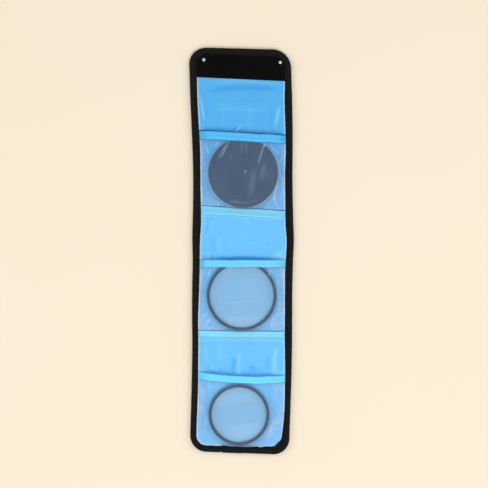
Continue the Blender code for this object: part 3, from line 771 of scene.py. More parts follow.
def mouth_shades(u, y):
    """How much painted shade the lining gets above the mouths, and how dark the painted shadow line at the tapes'
    edges is.
    """
    shade, line = np.zeros_like(u), np.zeros_like(u)
    for name, (_, _, _, reach, strength, edge) in MOUTHS.items():
        above = y - mouth_line(u, name)
        deep = np.interp(u / MM, SHADE_PLACES, MOUTH_SHADES[name])
        # painted shade above the mouth, and a thin painted shadow line at the tape's edge
        near = ramp(-above, -(reach * deep + 0.8) * MM, -(0.35 * reach * deep + 0.3) * MM) * (above > -0.003)
        shade = np.maximum(shade, strength * near * np.minimum(deep * 1.6, 1.0))
        line = np.maximum(line, edge * ramp(above, -0.0008, 0.0) * ramp(-above, -0.0014, -0.0007))
    return shade, line


# %% The lining as it lies
lining, u, v, x, y = strip_cloth("lining", 0.001)
# Painted shade above the mouths, and painted shadow lines at the tapes' edges
shade, line = mouth_shades(u, y)
# Painted light: the lining just above the lower mouth is painted lighter, against the shadow of its tape
above_lower = y - mouth_line(u, "lower")
painted_light_before_lower = ramp(-above_lower, -0.0075, -0.0010) * (above_lower > -0.003)
thicken(
    lining, x, y, LINING_TOP + lining_rise(u, v), LINING_TOP - LINING_BOTTOM, -1,
    from_binding=from_binding(u, v) / MM,
    mouth_shade=shade,
    mouth_line=line,
    # painted light: the lining under the pockets is painted lighter, against the shade of the film above it
    in_pocket=ramp(-open_share(v), -0.3, 0.0),
    # painted shade: the lining under the upper pocket is painted darker
    in_upper=ramp(v, 0.0400, 0.0480) * ramp(-v, -0.1160, -0.1080),
    # painted light and shade: fold ridges painted paler, valleys darker, and the lining above the lower mouth painted
    # lighter
    tone=np.clip(marks(x, y, LINING_FOLDS, -0.12) / 0.55 + 0.35 * painted_light_before_lower, -1, 1),
)

# %% [markdown]
# ## The lining's finish
#
# Nylon lining has a slight silk sheen and is dyed a little unevenly.  It is painted a deeper blue toward the
# flap, painted shade, and deeper still above the pockets' mouths, painted shade with a painted shadow line at
# the tapes' edges.  Under the pockets it is painted lighter against the film's shade, painted light, and under
# the upper pocket darker, painted shade.  Fold ridges are painted paler and valleys darker, painted light and
# shade.  The weave is too fine for the camera, but it breaks up the highlights, so it goes into the bump.
# Beside the binding a paler line is painted on, a painted highlight.  The stored distances from binding and
# mouths place all of that.

# %% Blue nylon
nylon = Finish("blue_lining_nylon", Sheen_Weight=0.08, Sheen_Roughness=0.4, Specular_IOR_Level=0.25)
patch = nylon.cloth_noise(28.0, 28.0)
slub = nylon.cloth_noise(90.0, 900.0)
slub_up = nylon.cloth_noise(1100.0, 60.0)
threads = nylon.weave(0.00036)
tone = nylon.field("tone")
from_edge = nylon.field("from_binding")
# Painted highlight: a paler line along the binding's inner edge
painted_edge_highlight = from_edge.between(-0.3, 0.3) * (1.0 - from_edge.between(0.8, 1.7))
nylon.paint(
    (113, 201, 252),
    # Painted light under the pockets, against the film's shade
    (nylon.field("in_pocket"), (124, 212, 255)),
    # Painted shade under the upper pocket
    (nylon.field("in_upper"), (100, 180, 228)),
    # Painted shade: a deeper blue toward the flap
    (nylon.cloth_place()[1].between(0.24, 0.33), (82, 178, 236)),
    ((patch * 2.0 - 0.7).clamp() * 0.35, (104, 192, 250)),
    (((slub + slub_up - 1.0) * 1.4 + 0.45).clamp() * 0.30, (64, 158, 232)),
    # Painted highlight on fold ridges and painted shade in their valleys
    (tone.clamp() * 0.50, (150, 224, 255)),
    ((tone * -1.0).clamp() * 0.50, (52, 148, 226)),
    (painted_edge_highlight * 0.70, (212, 240, 255)),
    # Painted shade above the pockets' mouths
    (nylon.field("mouth_shade"), (0, 150, 255)),
    # Painted shadow line at the mouth tapes' edges
    (nylon.field("mouth_line") * 0.95, (0, 62, 126)),
    ((threads * 0.5 + 0.5) * 0.10, (64, 150, 225)),
)
nylon.put(Roughness=0.50 + slub * 0.14)
nylon.bump(threads * 0.5 + slub * 0.6 + slub_up * 0.6, 0.00012, 0.6)
lining_pieces = hang_on_folds(lining, nylon.material, "lining", "lining_cloth")

# %% [markdown]
# ## The foam and the cover
#
# Below the lining lies a thin foam sheet, and below that a cover of heavy black nylon.  The foam never
# shows, but it fills the space between the two cloths, so it takes the lining's folds on its upper side
# and the cover's level on its lower side.  The cover puffs out a little, between the bound edges.

# %% The foam
FOAM_GAP = 0.0002
foam, u, v, x, y = strip_cloth("padding", 0.002)
thicken(
    foam, x, y, LINING_BOTTOM - FOAM_GAP + lining_rise(u, v), LINING_BOTTOM - COVER_TOP - 2 * FOAM_GAP, -1
)
rows = points(foam)
rows[u.size:, 2] = COVER_TOP + FOAM_GAP
move_points(foam, rows)
facing_out(foam)

sponge = Finish("grey_foam", Roughness=0.95)
cells = sponge.node("ShaderNodeTexVoronoi", None, {"Vector": sponge.object_place(), "Scale": 1400.0})
sponge.paint((58, 58, 60), ((cells * 1.4).clamp(), (130, 130, 133)))
sponge.bump(cells, 0.0003, 0.8)
foam_pieces = hang_on_folds(foam, sponge.material, "foam", "foam")

# %% The cover
COVER_PUFF = 0.00045
cover, u, v, x, y = strip_cloth("cover", 0.0016)
inside = ramp(-np.abs(u), -0.0440, -0.0340) * ramp(-np.abs(v), -0.196, -0.184)
away_from_folds = 1 - sum(bell(v, crease, 0.003) for crease in CREASES)
sag = inside * (COVER_PUFF * away_from_folds + 0.00010 * ripples(x, y, 0.020, 11))
thicken(cover, x, y, COVER_TOP - np.clip(sag, 0.0, COVER_BOTTOM * 0.8), COVER_TOP - COVER_BOTTOM, -1)

ballistic = Finish("black_cover_nylon", Sheen_Weight=0.04, Specular_IOR_Level=0.2)
threads = ballistic.weave(0.0007)
lint = ballistic.cloth_noise(60.0, 60.0, 4.0)
ballistic.paint(
    (27, 27, 30), ((lint * 2.4 - 1.1).clamp() * 0.5, (52, 52, 56)), ((threads * 0.5 + 0.5) * 0.5, (14, 14, 16))
)
ballistic.put(Roughness=0.62 + lint * 0.2)
ballistic.bump(threads, 0.0002, 0.9)
cover_pieces = hang_on_folds(cover, ballistic.material, "cover", "cover_cloth")

# %% [markdown]
# ## The edge binding
#
# The edge is bound with one long black tape, folded over the raw edge of all the layers and sewn through
# both sides.  A tube would look wrong: a bound edge is full at the fold and drawn in along the stitches.
# So the tape too starts as a flat grid, as long as the case's outline and an overlap more.  One function
# walks round the outline, and another gives the folded tape's section.  At the bottom the tape's last
# stretch lies over its first one and a little further in, as it does on the real case.

# %% The way round the outline
OVERLAP_START = 0.0011
OVERLAP_END = -0.0177
OVERLAP = OVERLAP_START - OVERLAP_END
LONG_SIDE = cad_high.y - cad_low.y - TOP_CORNER - BOTTOM_CORNER
# From the tape's start at the bottom: each straight run, and the radius of the corner that it leads to
RUNS = (
    (OVERLAP_START + HALF_WIDTH - BOTTOM_CORNER, BOTTOM_CORNER),
    (LONG_SIDE, TOP_CORNER),
    (2 * (HALF_WIDTH - TOP_CORNER), TOP_CORNER),
    (LONG_SIDE, BOTTOM_CORNER),
    (HALF_WIDTH - BOTTOM_CORNER - OVERLAP_END, 0.0),
)
TAPE_LENGTH = sum(straight + corner * math.pi / 2 for straight, corner in RUNS)


def outline(way):
    """The outline's place and its inward direction, way metres from the tape's start."""
    place, inward = np.zeros((2, len(way), 2))
    at, heading, done = np.array([OVERLAP_START, cad_low.y]), math.pi, 0.0
    for straight, corner in RUNS:
        ahead = np.array([math.cos(heading), math.sin(heading)])
        inside = np.array([ahead[1], -ahead[0]])
        here = way >= done
        place[here] = at + (way[here] - done)[:, None] * ahead
        inward[here] = inside
        at, done = at + straight * ahead, done + straight
        if corner:
            here = way >= done
            angle = heading - (way[here] - done) / corner
            inward[here] = np.column_stack([np.sin(angle), -np.cos(angle)])
            place[here] = at + corner * (inside - inward[here])
            at, done = at + corner * (inside + ahead), done + corner * math.pi / 2
            heading -= math.pi / 2
    return place, inward


def tape_width(way, place):
    """How wide the tape shows, with its last stretch drawn in over the first."""
    over = ramp(way, TAPE_LENGTH - 0.056, TAPE_LENGTH - 0.028)
    return visible_width(place[:, 0], place[:, 1]) + 0.0013 * over


print("binding tape", round(TAPE_LENGTH, 4), "m long")

# %% The folded tape's section
TAPE_THICKNESS = 0.00042
EDGE_ROUND = 0.0019
STITCH_FROM_EDGE = 0.0015
STITCH_GROOVE = 0.00042
TAPE_COLUMNS = 30
TOP_COLUMNS = 11
ROUND_COLUMNS = 8
OVER_RISE = 0.00035
TAPE_BULGE = 0.00045
# When the case is shut, the flap's binding goes round the outside of this fold, so it is a little thinner
WRAPPED_FOLD = next(crease for crease, *bodies in FOLDS if bodies == ["lower_spine", "middle_panel"])
WRAPPED_LIFT = 0.00028


def tape_height(inset, width, way):
    """The tape's upper surface at a distance in from the edge: full at the fold, low at the stitches."""
    groove = bell(inset, width - STITCH_FROM_EDGE, 0.00055)
    selvage = ramp(inset, width - 0.0012, width)
    full = BINDING_TOP - 0.00012 * ramp(np.abs(inset - width / 2), 0.0, width / 2)
    pucker = 0.00009 * np.sin(way * math.tau / 0.0028) * bell(inset, width - 0.0026, 0.0012)
    return full - STITCH_GROOVE * groove - 0.00030 * selvage + pucker


def bulge(place):
    """The binding stands a little higher where the pockets' tapes run under it."""
    tapes = [mouth_of(name) - 0.0045 for name in MOUTHS]
    tapes += [sum(corner.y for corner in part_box("seam_tape_" + name)) / 2 for name in ("upper", "middle")]
    beside_tape = sum(bell(place[:, 1], at, 0.0050) for at in tapes)
    return TAPE_BULGE * beside_tape * (np.abs(place[:, 0]) > 0.046)


def tape_section(index, width, way):
    """Inset and height of each column of the tape, from its upper inner edge round to its lower one."""
    top, below = index <= TOP_COLUMNS, index >= TOP_COLUMNS + ROUND_COLUMNS
    rest = TAPE_COLUMNS - TOP_COLUMNS - ROUND_COLUMNS
    leg = width + (EDGE_ROUND - width) * np.where(top, index / TOP_COLUMNS, (TAPE_COLUMNS - index) / rest)
    turn = math.pi * np.clip((index - TOP_COLUMNS) / ROUND_COLUMNS, 0.0, 1.0)
    middle = BINDING_TOP / 2
    lower = 0.00025 * bell(leg, width - STITCH_FROM_EDGE, 0.0006) + 0.0002 * ramp(leg, width - 0.001, width)
    bend = middle + middle * np.cos(turn) * (1 - 0.03 * np.sin(turn) ** 2)
    height = np.where(top, tape_height(leg, width, way), np.where(below, lower, bend))
    return np.where(top | below, leg, EDGE_ROUND * (1 - np.sin(turn))), height


# %% The binding, round the whole case
binding, across, along = cut_cloth("binding", 0.0195, TAPE_LENGTH, 0.0014, columns=TAPE_COLUMNS)
way = along * TAPE_LENGTH
place, inward = outline(way)
width = tape_width(way, place)
inset, height = tape_section(np.round(across * TAPE_COLUMNS), width, way)
middle = BINDING_TOP / 2
first = ramp(-way, -OVERLAP - 0.004, -OVERLAP)
last = ramp(way, TAPE_LENGTH - OVERLAP - 0.004, TAPE_LENGTH - OVERLAP)
height = height + bulge(place) * (height > middle) * ramp(inset, 0.0015, 0.0040)
height = middle + (height - middle) * (1 - 0.20 * first) + OVER_RISE * last * (height > middle)
inset = inset + 0.0005 * first - 0.0002 * last
fray = 0.00012 * np.sin(way * 900.0) * np.sin(way * 233.0) * (inset > width - 0.0004)
u, v = (place + inward * (inset + fray)[:, None]).T
height = np.maximum(height, WRAPPED_LIFT * ramp(-np.abs(v - WRAPPED_FOLD), -0.0090, -0.0055))
thicken(binding, *lay(u, v), np.maximum(height, 0.0), TAPE_THICKNESS, 1, inset=inset)

# %% [markdown]
# ## The binding's finish
#
# The tape is a ribbed black polyester.  Two tonal lines run along it, where the fold is ironed and where
# the stitches pull it down.  The fold rubs on everything the case lies on, so it is a shade greyer.

# %% Black binding tape
tape_black = Finish("black_binding_tape", Sheen_Weight=0.02, Specular_IOR_Level=0.12)
ribs = tape_black.cloth_place()[1].wave(0.0009)
lint = tape_black.cloth_noise(120.0, 70.0, 4.0)
inset_here = tape_black.field("inset")
rubbed = inset_here.between(0.0001, 0.0006) * (1.0 - inset_here.between(0.0009, 0.0018))
line = inset_here.between(0.0020, 0.0027) * (1.0 - inset_here.between(0.0028, 0.0036))
tape_black.paint(
    (13, 11, 10),
    ((lint * 2.0 - 0.8).clamp() * 0.6, (26, 24, 23)),
    ((line * 0.28 + rubbed * 0.18).clamp(), (44, 43, 46)),
    ((ribs * 0.5 + 0.5) * 0.4, (9, 9, 10)),
)
tape_black.put(Roughness=0.6 + lint * 0.2)
tape_black.bump(ribs, 0.0001, 0.7)
binding_pieces = hang_on_folds(binding, tape_black.material, "binding", "binding_tape")

# %% [markdown]
# ## Thread
#
# A lockstitch shows as a row of short, plump stitches with their ends pulled down into the cloth.  One
# stitch is modelled as a small stretched sphere with few faces, because hundreds are needed.  Each copy
# is turned along its row and laid at its place, and the copies of one row become one piece, cut into
# the same stretches as the tape that they hold.

# %% One stitch, and rows of it
STITCH_LENGTH = 0.0022
STITCH_PITCH = 0.0028
STITCH_WIDTH = 0.00055
STITCH_HEIGHT = 0.00042

bpy.ops.mesh.primitive_uv_sphere_add(segments=6, ring_count=6, radius=0.5, rotation=(0.0, math.pi / 2, 0.0))
stitch = bpy.context.object
bpy.ops.object.transform_apply(location=False, rotation=True, scale=False)
bpy.ops.object.mode_set(mode="EDIT")
bpy.ops.transform.resize(value=(STITCH_LENGTH, STITCH_WIDTH, STITCH_HEIGHT))
bpy.ops.object.mode_set(mode="OBJECT")
STITCH_POINTS = points(stitch)
STITCH_FACES = [tuple(face.vertices) for face in stitch.data.polygons]
bpy.data.objects.remove(stitch, do_unlink=True)


def copies(name, shape, faces, places, turns):
    """One object that holds a turned copy of a small shape at each place."""
    cos, sin = np.cos(turns)[:, None], np.sin(turns)[:, None]
    px, py, pz = shape.T[:, None, :]
    moved = np.stack([px * cos - py * sin, px * sin + py * cos, pz + 0 * cos], axis=2) + places[:, None, :]
    every = [tuple(i + len(shape) * k for i in face) for k in range(len(places)) for face in faces]
    obj = from_rows(name, moved.reshape(-1, 3).tolist(), faces=every)
    bpy.ops.object.shade_smooth()
    return obj


def thread(name, dark, pale):
    """A twisted thread's finish."""
    made = Finish(name, Roughness=0.6, Specular_IOR_Level=0.2)
    x_place, y_place = made.two(made.object_place())
    twist = (x_place + y_place).wave(0.0004) * 0.5 + 0.5
    made.paint(dark, (twist, pale))
    made.bump(twist, 0.0001, 0.8)
    return made.material


BLACK_THREAD = thread("black_thread", (12, 12, 14), (34, 34, 37))
BLUE_THREAD = thread("blue_thread", (84, 178, 232), (160, 228, 252))


def row(*places):
    """Stitch places and directions along a line of close points."""
    places = np.column_stack(places)
    total = np.concatenate([[0.0], np.cumsum(np.linalg.norm(np.diff(places, axis=0), axis=1))])
    at = np.arange(STITCH_PITCH / 2, total[-1], STITCH_PITCH)
    spots, ahead, behind = (
        np.column_stack([np.interp(at + off, total, column) for column in places.T])
        for off in (0.0, STITCH_LENGTH / 2, -STITCH_LENGTH / 2)
    )
    way = ahead - behind
    return spots, np.arctan2(way[:, 1], way[:, 0])


# %% The binding's two rows
way = np.linspace(0.003, TAPE_LENGTH - OVERLAP - 0.001, 1400)
place, inward = outline(way)
width = tape_width(way, place)
inset = width - STITCH_FROM_EDGE
x, y = lay(*(place + inward * inset[:, None]).T)
above = tape_height(inset, width, way) + bulge(place) + STITCH_HEIGHT * 0.22
for label, level in (("upper", above), ("lower", np.full(len(way), STITCH_HEIGHT * 0.5))):
    spots, turns = row(x, y, level)
    for fold, (start, end) in zip(FOLDS, SPANS):
        here = (spots[:, 1] >= start) & (spots[:, 1] < end)
        name = f"binding_stitches_{label}_{fold[1]}_to_{fold[2]}"
        piece = copies(name, STITCH_POINTS, STITCH_FACES, spots[here], turns[here])
        piece.data.materials.append(BLACK_THREAD)
        bend_at(piece, *fold, "binding_tape")
print("stitches in the binding", 2 * len(spots))

# %% [markdown]
# ## The filters
#
# A filter is a black anodised ring with a knurled edge, a fine thread below and a female thread above, a
# disc of glass on its ledge, and a slotted ring that holds the glass down.  All of it is turned, so the
# section is drawn once and spun.  The knurl and the threads are real geometry, because they show when a
# filter is slid out.

# %% Turned pieces
def turned(name, profile, centre, steps=192):
    """Spins a closed section of (radius, height) pairs about an axis."""
    rows = [(centre.x + r, centre.y, z) for r, z in profile]
    obj = from_rows(name, rows, [(i, (i + 1) % len(rows)) for i in range(len(rows))])
    bpy.ops.object.mode_set(mode="EDIT")
    bpy.ops.mesh.select_all(action="SELECT")
    bpy.ops.mesh.spin(steps=steps, angle=math.tau, center=(centre.x, centre.y, 0.0), axis=(0.0, 0.0, 1.0))
    bpy.ops.mesh.select_all(action="SELECT")
    bpy.ops.mesh.remove_doubles(threshold=0.00001)
    bpy.ops.object.mode_set(mode="OBJECT")
    return facing_out(obj, sharp=35)


# %% Rims with knurl and threads
FLANGE = 0.0015
BORE_RELIEF = 0.0001
MALE_RELIEF = 0.0003
MALE_HEIGHT = 0.0018
LEDGE_DEPTH = 0.0017
THREAD_PITCH = 0.00075
THREAD_DEPTH = 0.00025
KNURL_DEPTH = 0.00012
KNURLS = 96
EASE = 0.00018


def toothed(radius, depth, low, high, pitch):
    """A thread's section between two heights: small teeth, cut into the wall by depth."""
    count = max(2, round((high - low) / pitch))
    rows = []
    for tooth in range(count):
        start = low + (high - low) * tooth / count
        rows += [(radius - depth, start), (radius, start + (high - low) * 0.5 / count)]
    return rows + [(radius - depth, high)]


def rim(name):
    """A filter's rim, threaded below and in its bore, and knurled round its edge."""
    centre, radius, bottom, top = round_part(name + "_rim")
    glass_bottom, ring_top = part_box(name + "_glass")[0].z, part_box(name + "_retaining_ring")[1].z
    male, bore, ledge = (radius - FLANGE - depth for depth in (MALE_RELIEF, BORE_RELIEF, LEDGE_DEPTH))
    shoulder, outer, ledge_top = bottom + MALE_HEIGHT, radius - KNURL_DEPTH, glass_bottom - MALE_RELIEF
    inner_thread = toothed(bore, THREAD_DEPTH * 0.5, ring_top, top - EASE, THREAD_PITCH * 0.4)
    profile = [(ledge, bottom), (male - THREAD_DEPTH, bottom)]
    profile += toothed(male, THREAD_DEPTH, bottom + EASE, shoulder - EASE, THREAD_PITCH)
    profile += [(male - THREAD_DEPTH, shoulder), (outer - EASE, shoulder), (outer, shoulder + EASE)]
    profile += [(outer, top - EASE), (outer - EASE, top), (bore + EASE, top)]
    profile += inner_thread[::-1] + [(bore, ledge_top), (ledge, ledge_top)]
    made = turned(name + "_threaded_rim", profile, centre, steps=2 * KNURLS)
    rows = points(made)
    arm = rows[:, :2] - centre[:2]
    reach = np.hypot(*arm.T)
    level = rows[:, 2]
    knurled = (reach > outer - EASE / 2) & (level > shoulder + EASE / 2) & (level < top - EASE / 2)
    wave = KNURL_DEPTH * np.cos(KNURLS * np.arctan2(arm[:, 1], arm[:, 0]))
    rows[:, :2] = centre[:2] + arm * np.where(knurled, 1 + wave / reach, 1.0)[:, None]
    move_points(made, rows)
    return made


# %% Glass and the slotted ring that holds it
GLASS_EDGE = 0.0002
RING_WALL = 0.0012
SLOT_HALF_WIDTH = 0.0007
SLOT_DEPTH = 0.0004


def glass(name):
    """A flat disc with a ground bevel all round."""
    centre, radius, low, high = round_part(name + "_glass")
    middle = round_part(name + "_rim")[0]
    bpy.ops.mesh.primitive_cylinder_add(
        vertices=128, radius=radius, depth=high - low, location=(middle.x, middle.y, centre.z)
    )
    made = bpy.context.object
    made.name = made.data.name = name + "_ground_glass"
    bpy.ops.object.transform_apply(location=True, rotation=True, scale=True)
    finish_with(made, "BEVEL", width=GLASS_EDGE, segments=2, limit_method="ANGLE")
    bpy.ops.object.shade_smooth_by_angle(angle=math.radians(25))
    return made


def slotted_ring(name):
    """The ring over the glass, with two slots for a spanner in its upper face."""
    _, outer, low, high = round_part(name + "_retaining_ring")
    centre, inner = round_part(name + "_rim")[0], outer - RING_WALL
    profile = [(inner, low), (outer, low), (outer, high - EASE), (outer - EASE, high), (inner + EASE, high)]
    made = turned(name + "_slotted_ring", profile + [(inner, high - EASE)], centre)
    rows = points(made)
    slot = (np.abs(rows[:, 1] - centre.y) < SLOT_HALF_WIDTH) & (rows[:, 2] > low + EASE)
    rows[slot, 2] -= np.minimum(SLOT_DEPTH, rows[slot, 2] - low - EASE)
    move_points(made, rows)
    return made


# %% [markdown]
# ## Finishes of metal and glass
#
# Anodised aluminium is a dark dye under a hard clear skin, with faint turning marks.  The clear glass
# hardly shows but for its reflection, and alpha gives that more surely than true glass below a film.
# The dark filter's glass is dyed right through, so it is an almost black, polished surface.

# %% Anodised rim, clear glass and dark glass
def anodise(name, dark, pale):
    """A dyed metal skin with a fine grain."""
    made = Finish(name, Metallic=0.2, Specular_IOR_Level=0.3)
    grain = made.noise(900.0, 4.0)
    made.paint(dark, (grain, pale))
    made.put(Roughness=0.34 + grain * 0.14)
    made.bump(grain, 0.00004, 0.5)
    return made.material


blue_black = anodise("blue_black_anodised", (0, 4, 38), (8, 20, 62))
plum_black = anodise("plum_black_anodised", (24, 14, 34), (44, 30, 56))

clear = Finish("clear_coated_glass", Roughness=0.04, IOR=1.5, Coat_Weight=0.6, Coat_Tint=(0.75, 0.9, 1.0, 1.0))
smear = clear.noise(60.0)
clear.paint((212, 234, 255), (smear, (226, 244, 255)))
clear.put(Alpha=0.11 + smear * 0.08)

smoked = Finish("dark_glass", Roughness=0.14, IOR=1.5, Specular_IOR_Level=0.15)
smoked.paint((6, 22, 48), (smoked.noise(45.0), (28, 46, 74)))

FILTERS = {
    "dark_filter": (smoked.material, "dark_glass", plum_black),
    "clear_filter": (clear.material, "clear_glass", blue_black),
    "small_filter": (clear.material, "clear_glass", blue_black),
}
for name, (glass_material, glass_slot, anodised) in FILTERS.items():
    dress(rim(name), anodised, name, name + "_rim")
    dress(glass(name), glass_material, name, name + "_glass")
    dress(slotted_ring(name), anodised, name, name + "_retaining_ring")
    print(name, "dressed")

# %% [markdown]
# ## The clear pockets
#
# Each pocket is a sheet of clear soft vinyl, sewn down at both sides and at the bottom.  It bridges the
# filter like a tent: flat above it and sloping to the seams, with the spare sheet standing in creases
# that fan out to the corners.  A solver makes those creases better than a formula: the part over the
# filter and the sewn margins are pinned, the sheet is given a little spare length, and Cloth lets the
# slopes buckle.

# %% The tent over a filter
FILM_STEP = 0.0011
FILM_THICKNESS = 0.00025
FILM_CLEARANCE = 0.0013
SEAM_CLEARANCE = 0.0004
END_DROP = 0.0036
TAPE_END_TOP = BINDING_TOP - 0.0006


def pocket_sizes(name, filter_name):
    """A pocket's mouth, bottom seam and filter, from the frame."""
    centre, radius, _, _ = round_part(filter_name + "_rim")
    tape, off, *_ = MOUTHS[name]
    lowest_seam = cad_low.y + HALF_WIDTH - BINDING_INNER
    return SimpleNamespace(
        name=name, body=name + "_panel", centre=centre, radius=radius,
        mouth=mouth_of(name) + off * MM, tape=tape * MM, low=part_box("pocket_film_" + name)[0].y,
        seam=lowest_seam if name == "lower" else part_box("seam_tape_" + name)[1].y,
    )


POCKETS = [pocket_sizes(*names) for names in (
    ("upper", "dark_filter"), ("middle", "clear_filter"), ("lower", "small_filter")
)]


def low_ended(u, v, level):
    """Draws a height down to below the binding's top within the last few millimetres at both sides."""
    low = ramp(np.abs(u) + visible_width(u, v) - HALF_WIDTH, -END_DROP, 0.0)
    return level * (1 - low) + np.minimum(level, TAPE_END_TOP) * low


def tent(u, v, x, y, pocket):
    """The film's height at each place, how far down its slope that is, and the distance from the filter."""
    across, below = x - pocket.centre.x, np.minimum(y - pocket.centre.y, 0.0)
    away = np.hypot(across, below)
    room_round = SEAM_CLEARANCE + (FILM_CLEARANCE - SEAM_CLEARANCE) * np.abs(across) / np.maximum(away, 1e-6)
    out = away - pocket.radius - room_round
    to_side = HALF_WIDTH - np.abs(u) - visible_width(u, v)
    to_seam = v - pocket.seam + 0.0002
    room = -np.log(np.exp(-to_side / 0.002) + np.exp(-to_seam / 0.002)) * 0.002
    room = np.where(to_seam < 0.003, np.minimum(to_side, to_seam), room)
    share = np.maximum(out, 0.0) / np.maximum(np.maximum(out, 0.0) + room, 1e-5)
    share = np.where(room <= 0, 1.0, share)
    drop = 1 - (1 - np.clip(share, 0.0, 1.0)) ** 1.35
    return FILM_TOP - (FILM_TOP - SEWN_ON - FILM_THICKNESS) * drop, share, out


# %% Creases that the photo shows in the film
# Each crease: its half width in mm, how strongly it shows, and its places on the photo in pixels
FILM_CREASES = {
    "upper": (
        (0.45, 0.80, 229.2, 140.5, 225, 148.5, 220.4, 158), (0.45, 0.55, 226, 143.5, 221.5, 151, 217, 158.5),
        (0.85, 0.50, 264, 143.6, 261.7, 150, 257.4, 163.8), (1.20, 0.45, 265, 142.6, 263.3, 146.8),
        (0.55, 0.22, 241.3, 142, 241.4, 153.5), (0.55, 0.20, 246.2, 142, 245.8, 153),
        (0.60, 0.20, 228, 153.5, 232.5, 161), (2.80, 0.17, 253.5, 169, 250, 194.5),
        (2.60, 0.15, 265, 163, 260.5, 180), (2.00, 0.12, 226.5, 201, 239, 202),
        # The short, strong mark at 244.6, 170.4 is a painted glint, not a crease
        (0.55, 1.60, 244.6, 170.4, 244.7, 172), (0.80, 0.60, 204.7, 142, 205.4, 147, 208.6, 153.5),
        (1.60, 0.45, 218, 142, 214.5, 147), (0.80, 0.40, 200.6, 158.6, 206.8, 164.5),
        (1.40, 0.42, 204.4, 168, 205.6, 181), (0.90, 0.55, 201.5, 184, 202, 202),
        (1.10, 0.32, 206, 193, 210, 203), (1.50, 0.30, 210.5, 199.5, 220.5, 203.6),
        (0.50, 0.60, 224, 205.6, 231, 206.2, 238, 207.6), (1.10, 0.35, 268.5, 142.5, 272, 148, 277.5, 153.5),
        (0.80, 0.50, 282.6, 156, 278, 163.5), (1.20, 0.45, 279.2, 166, 281, 177, 282.8, 188, 284, 201),
        (1.00, 0.65, 277.8, 181, 274.5, 192, 273.6, 199, 278, 208), (1.50, 0.30, 264.5, 203.8, 272, 200.8),
        (1.30, 0.40, 281.5, 190, 281, 206),
    ),
    "middle": (
        (1.00, 0.50, 208.6, 268.5, 208.9, 275.5), (1.00, 0.35, 202, 268.5, 202.4, 284),
        (1.10, 0.55, 269.2, 268, 268.8, 275.5), (1.50, 0.40, 277, 270, 277.6, 286),
        (0.80, 0.35, 282.6, 275, 283.2, 296), (0.45, 0.50, 216, 301.8, 269, 301.9),
        (0.90, 0.55, 206.9, 311.5, 200.4, 318.8), (1.10, 0.60, 209.8, 316.5, 203.8, 327),
        (1.60, 0.28, 215, 323, 207, 329.5), (1.40, 0.40, 278, 289, 279.6, 307),
        (1.50, 0.16, 226.6, 274, 225.8, 286), (1.50, 0.28, 270.5, 322, 276.5, 328),
        (1.00, 0.35, 203.2, 296, 201.6, 309), (1.00, 0.30, 281, 312, 282, 326), (4.00, 0.06, 248, 280, 240, 298),
    ),
    "lower": (
        (1.60, 0.45, 208.6, 380, 208, 389), (1.40, 0.25, 215, 382, 211.5, 388), (1.20, 0.30, 201.8, 384, 200.4, 402),
        (1.40, 0.32, 206.5, 410, 204, 432), (0.90, 0.35, 199.6, 412, 199, 432), (1.80, 0.28, 276, 384, 274.5, 396),
        (0.40, 0.35, 268.4, 426.6, 266.2, 430.2, 262.6, 433.6), (0.40, 0.28, 270.6, 424.8, 268.6, 429, 265.4, 433.4),
        (1.80, 0.22, 279, 404, 277.5, 424), (1.20, 0.35, 207, 439, 216, 444.6), (0.90, 0.30, 282.8, 392, 282, 410),
        (0.50, 0.30, 216, 444.4, 232, 446.2),
    ),
}
CREASE_RISE = 0.00024


def crease_marks(x, y, name):
    """How strongly creases whiten the film at each place, part real whitening and part painted highlight."""
    return marks(x, y, FILM_CREASES[name], -0.15)


# %% Where the simulated film is bent sharply, and the thin painted shadow line between the film and its tapes
FILM_SPARE = 0.035
SLOPE_LIMIT = 0.0016
SIDE_LIMIT = 0.0006
WHITENING = 0.00045
# How far each seam tape's two edges lie off the frame's, in mm
SEAM_SHIFTS = {"upper": (0.0, 0.7), "middle": (2.0, 0.8)}
# How pale and clouded each film's slopes are, part milky haze and part painted reflection, how dark the
# painted shadow line is below its mouth tape and above its seam, and the rim's mark
SLOPE_HAZE_AND_REFLECTION = {"upper": 0.6, "middle": 1.35, "lower": 1.4}
TAPE_SHADOWS = {"upper": (0.75, 0.85), "middle": (0.45, 0.75), "lower": (0.40, 0.0)}
RIM_MARK = {"upper": 0.40, "middle": 0.0, "lower": 0.0}


def sharp_bends(height, columns):
    """How sharply each point of the film's grid is bent, from 0 to 1."""
    grid = height.reshape(-1, columns)
    twice = 2 * grid[1:-1, 1:-1]
    across, along = grid[1:-1, :-2] + grid[1:-1, 2:] - twice, grid[:-2, 1:-1] + grid[2:, 1:-1] - twice
    bend = np.zeros_like(grid)
    bend[1:-1, 1:-1] = np.abs(across) + np.abs(along)
    return np.clip(bend.ravel() * WHITENING / FILM_STEP, 0.0, 1.0)


def tape_shadow(x, y, name):
    """How dark the painted shadow line on the film beside its tapes is, from 0 to 1."""
    u = x - curve(y / MM, ALONG, SIDEWAYS) * MM
    edges = [mouth_line(u, name) - MOUTHS[name][0] * MM - y]
    if name in SEAM_SHIFTS:
        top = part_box("seam_tape_" + name)[1].y + SEAM_SHIFTS[name][1] * MM
        edges.append(y - lay(u, np.full_like(u, top))[1])
    return sum(
        strength * ramp(edge, -0.0008, 0.0) * ramp(-edge, -0.0013, -0.0004)
        for strength, edge in zip(TAPE_SHADOWS[name], edges)
    )


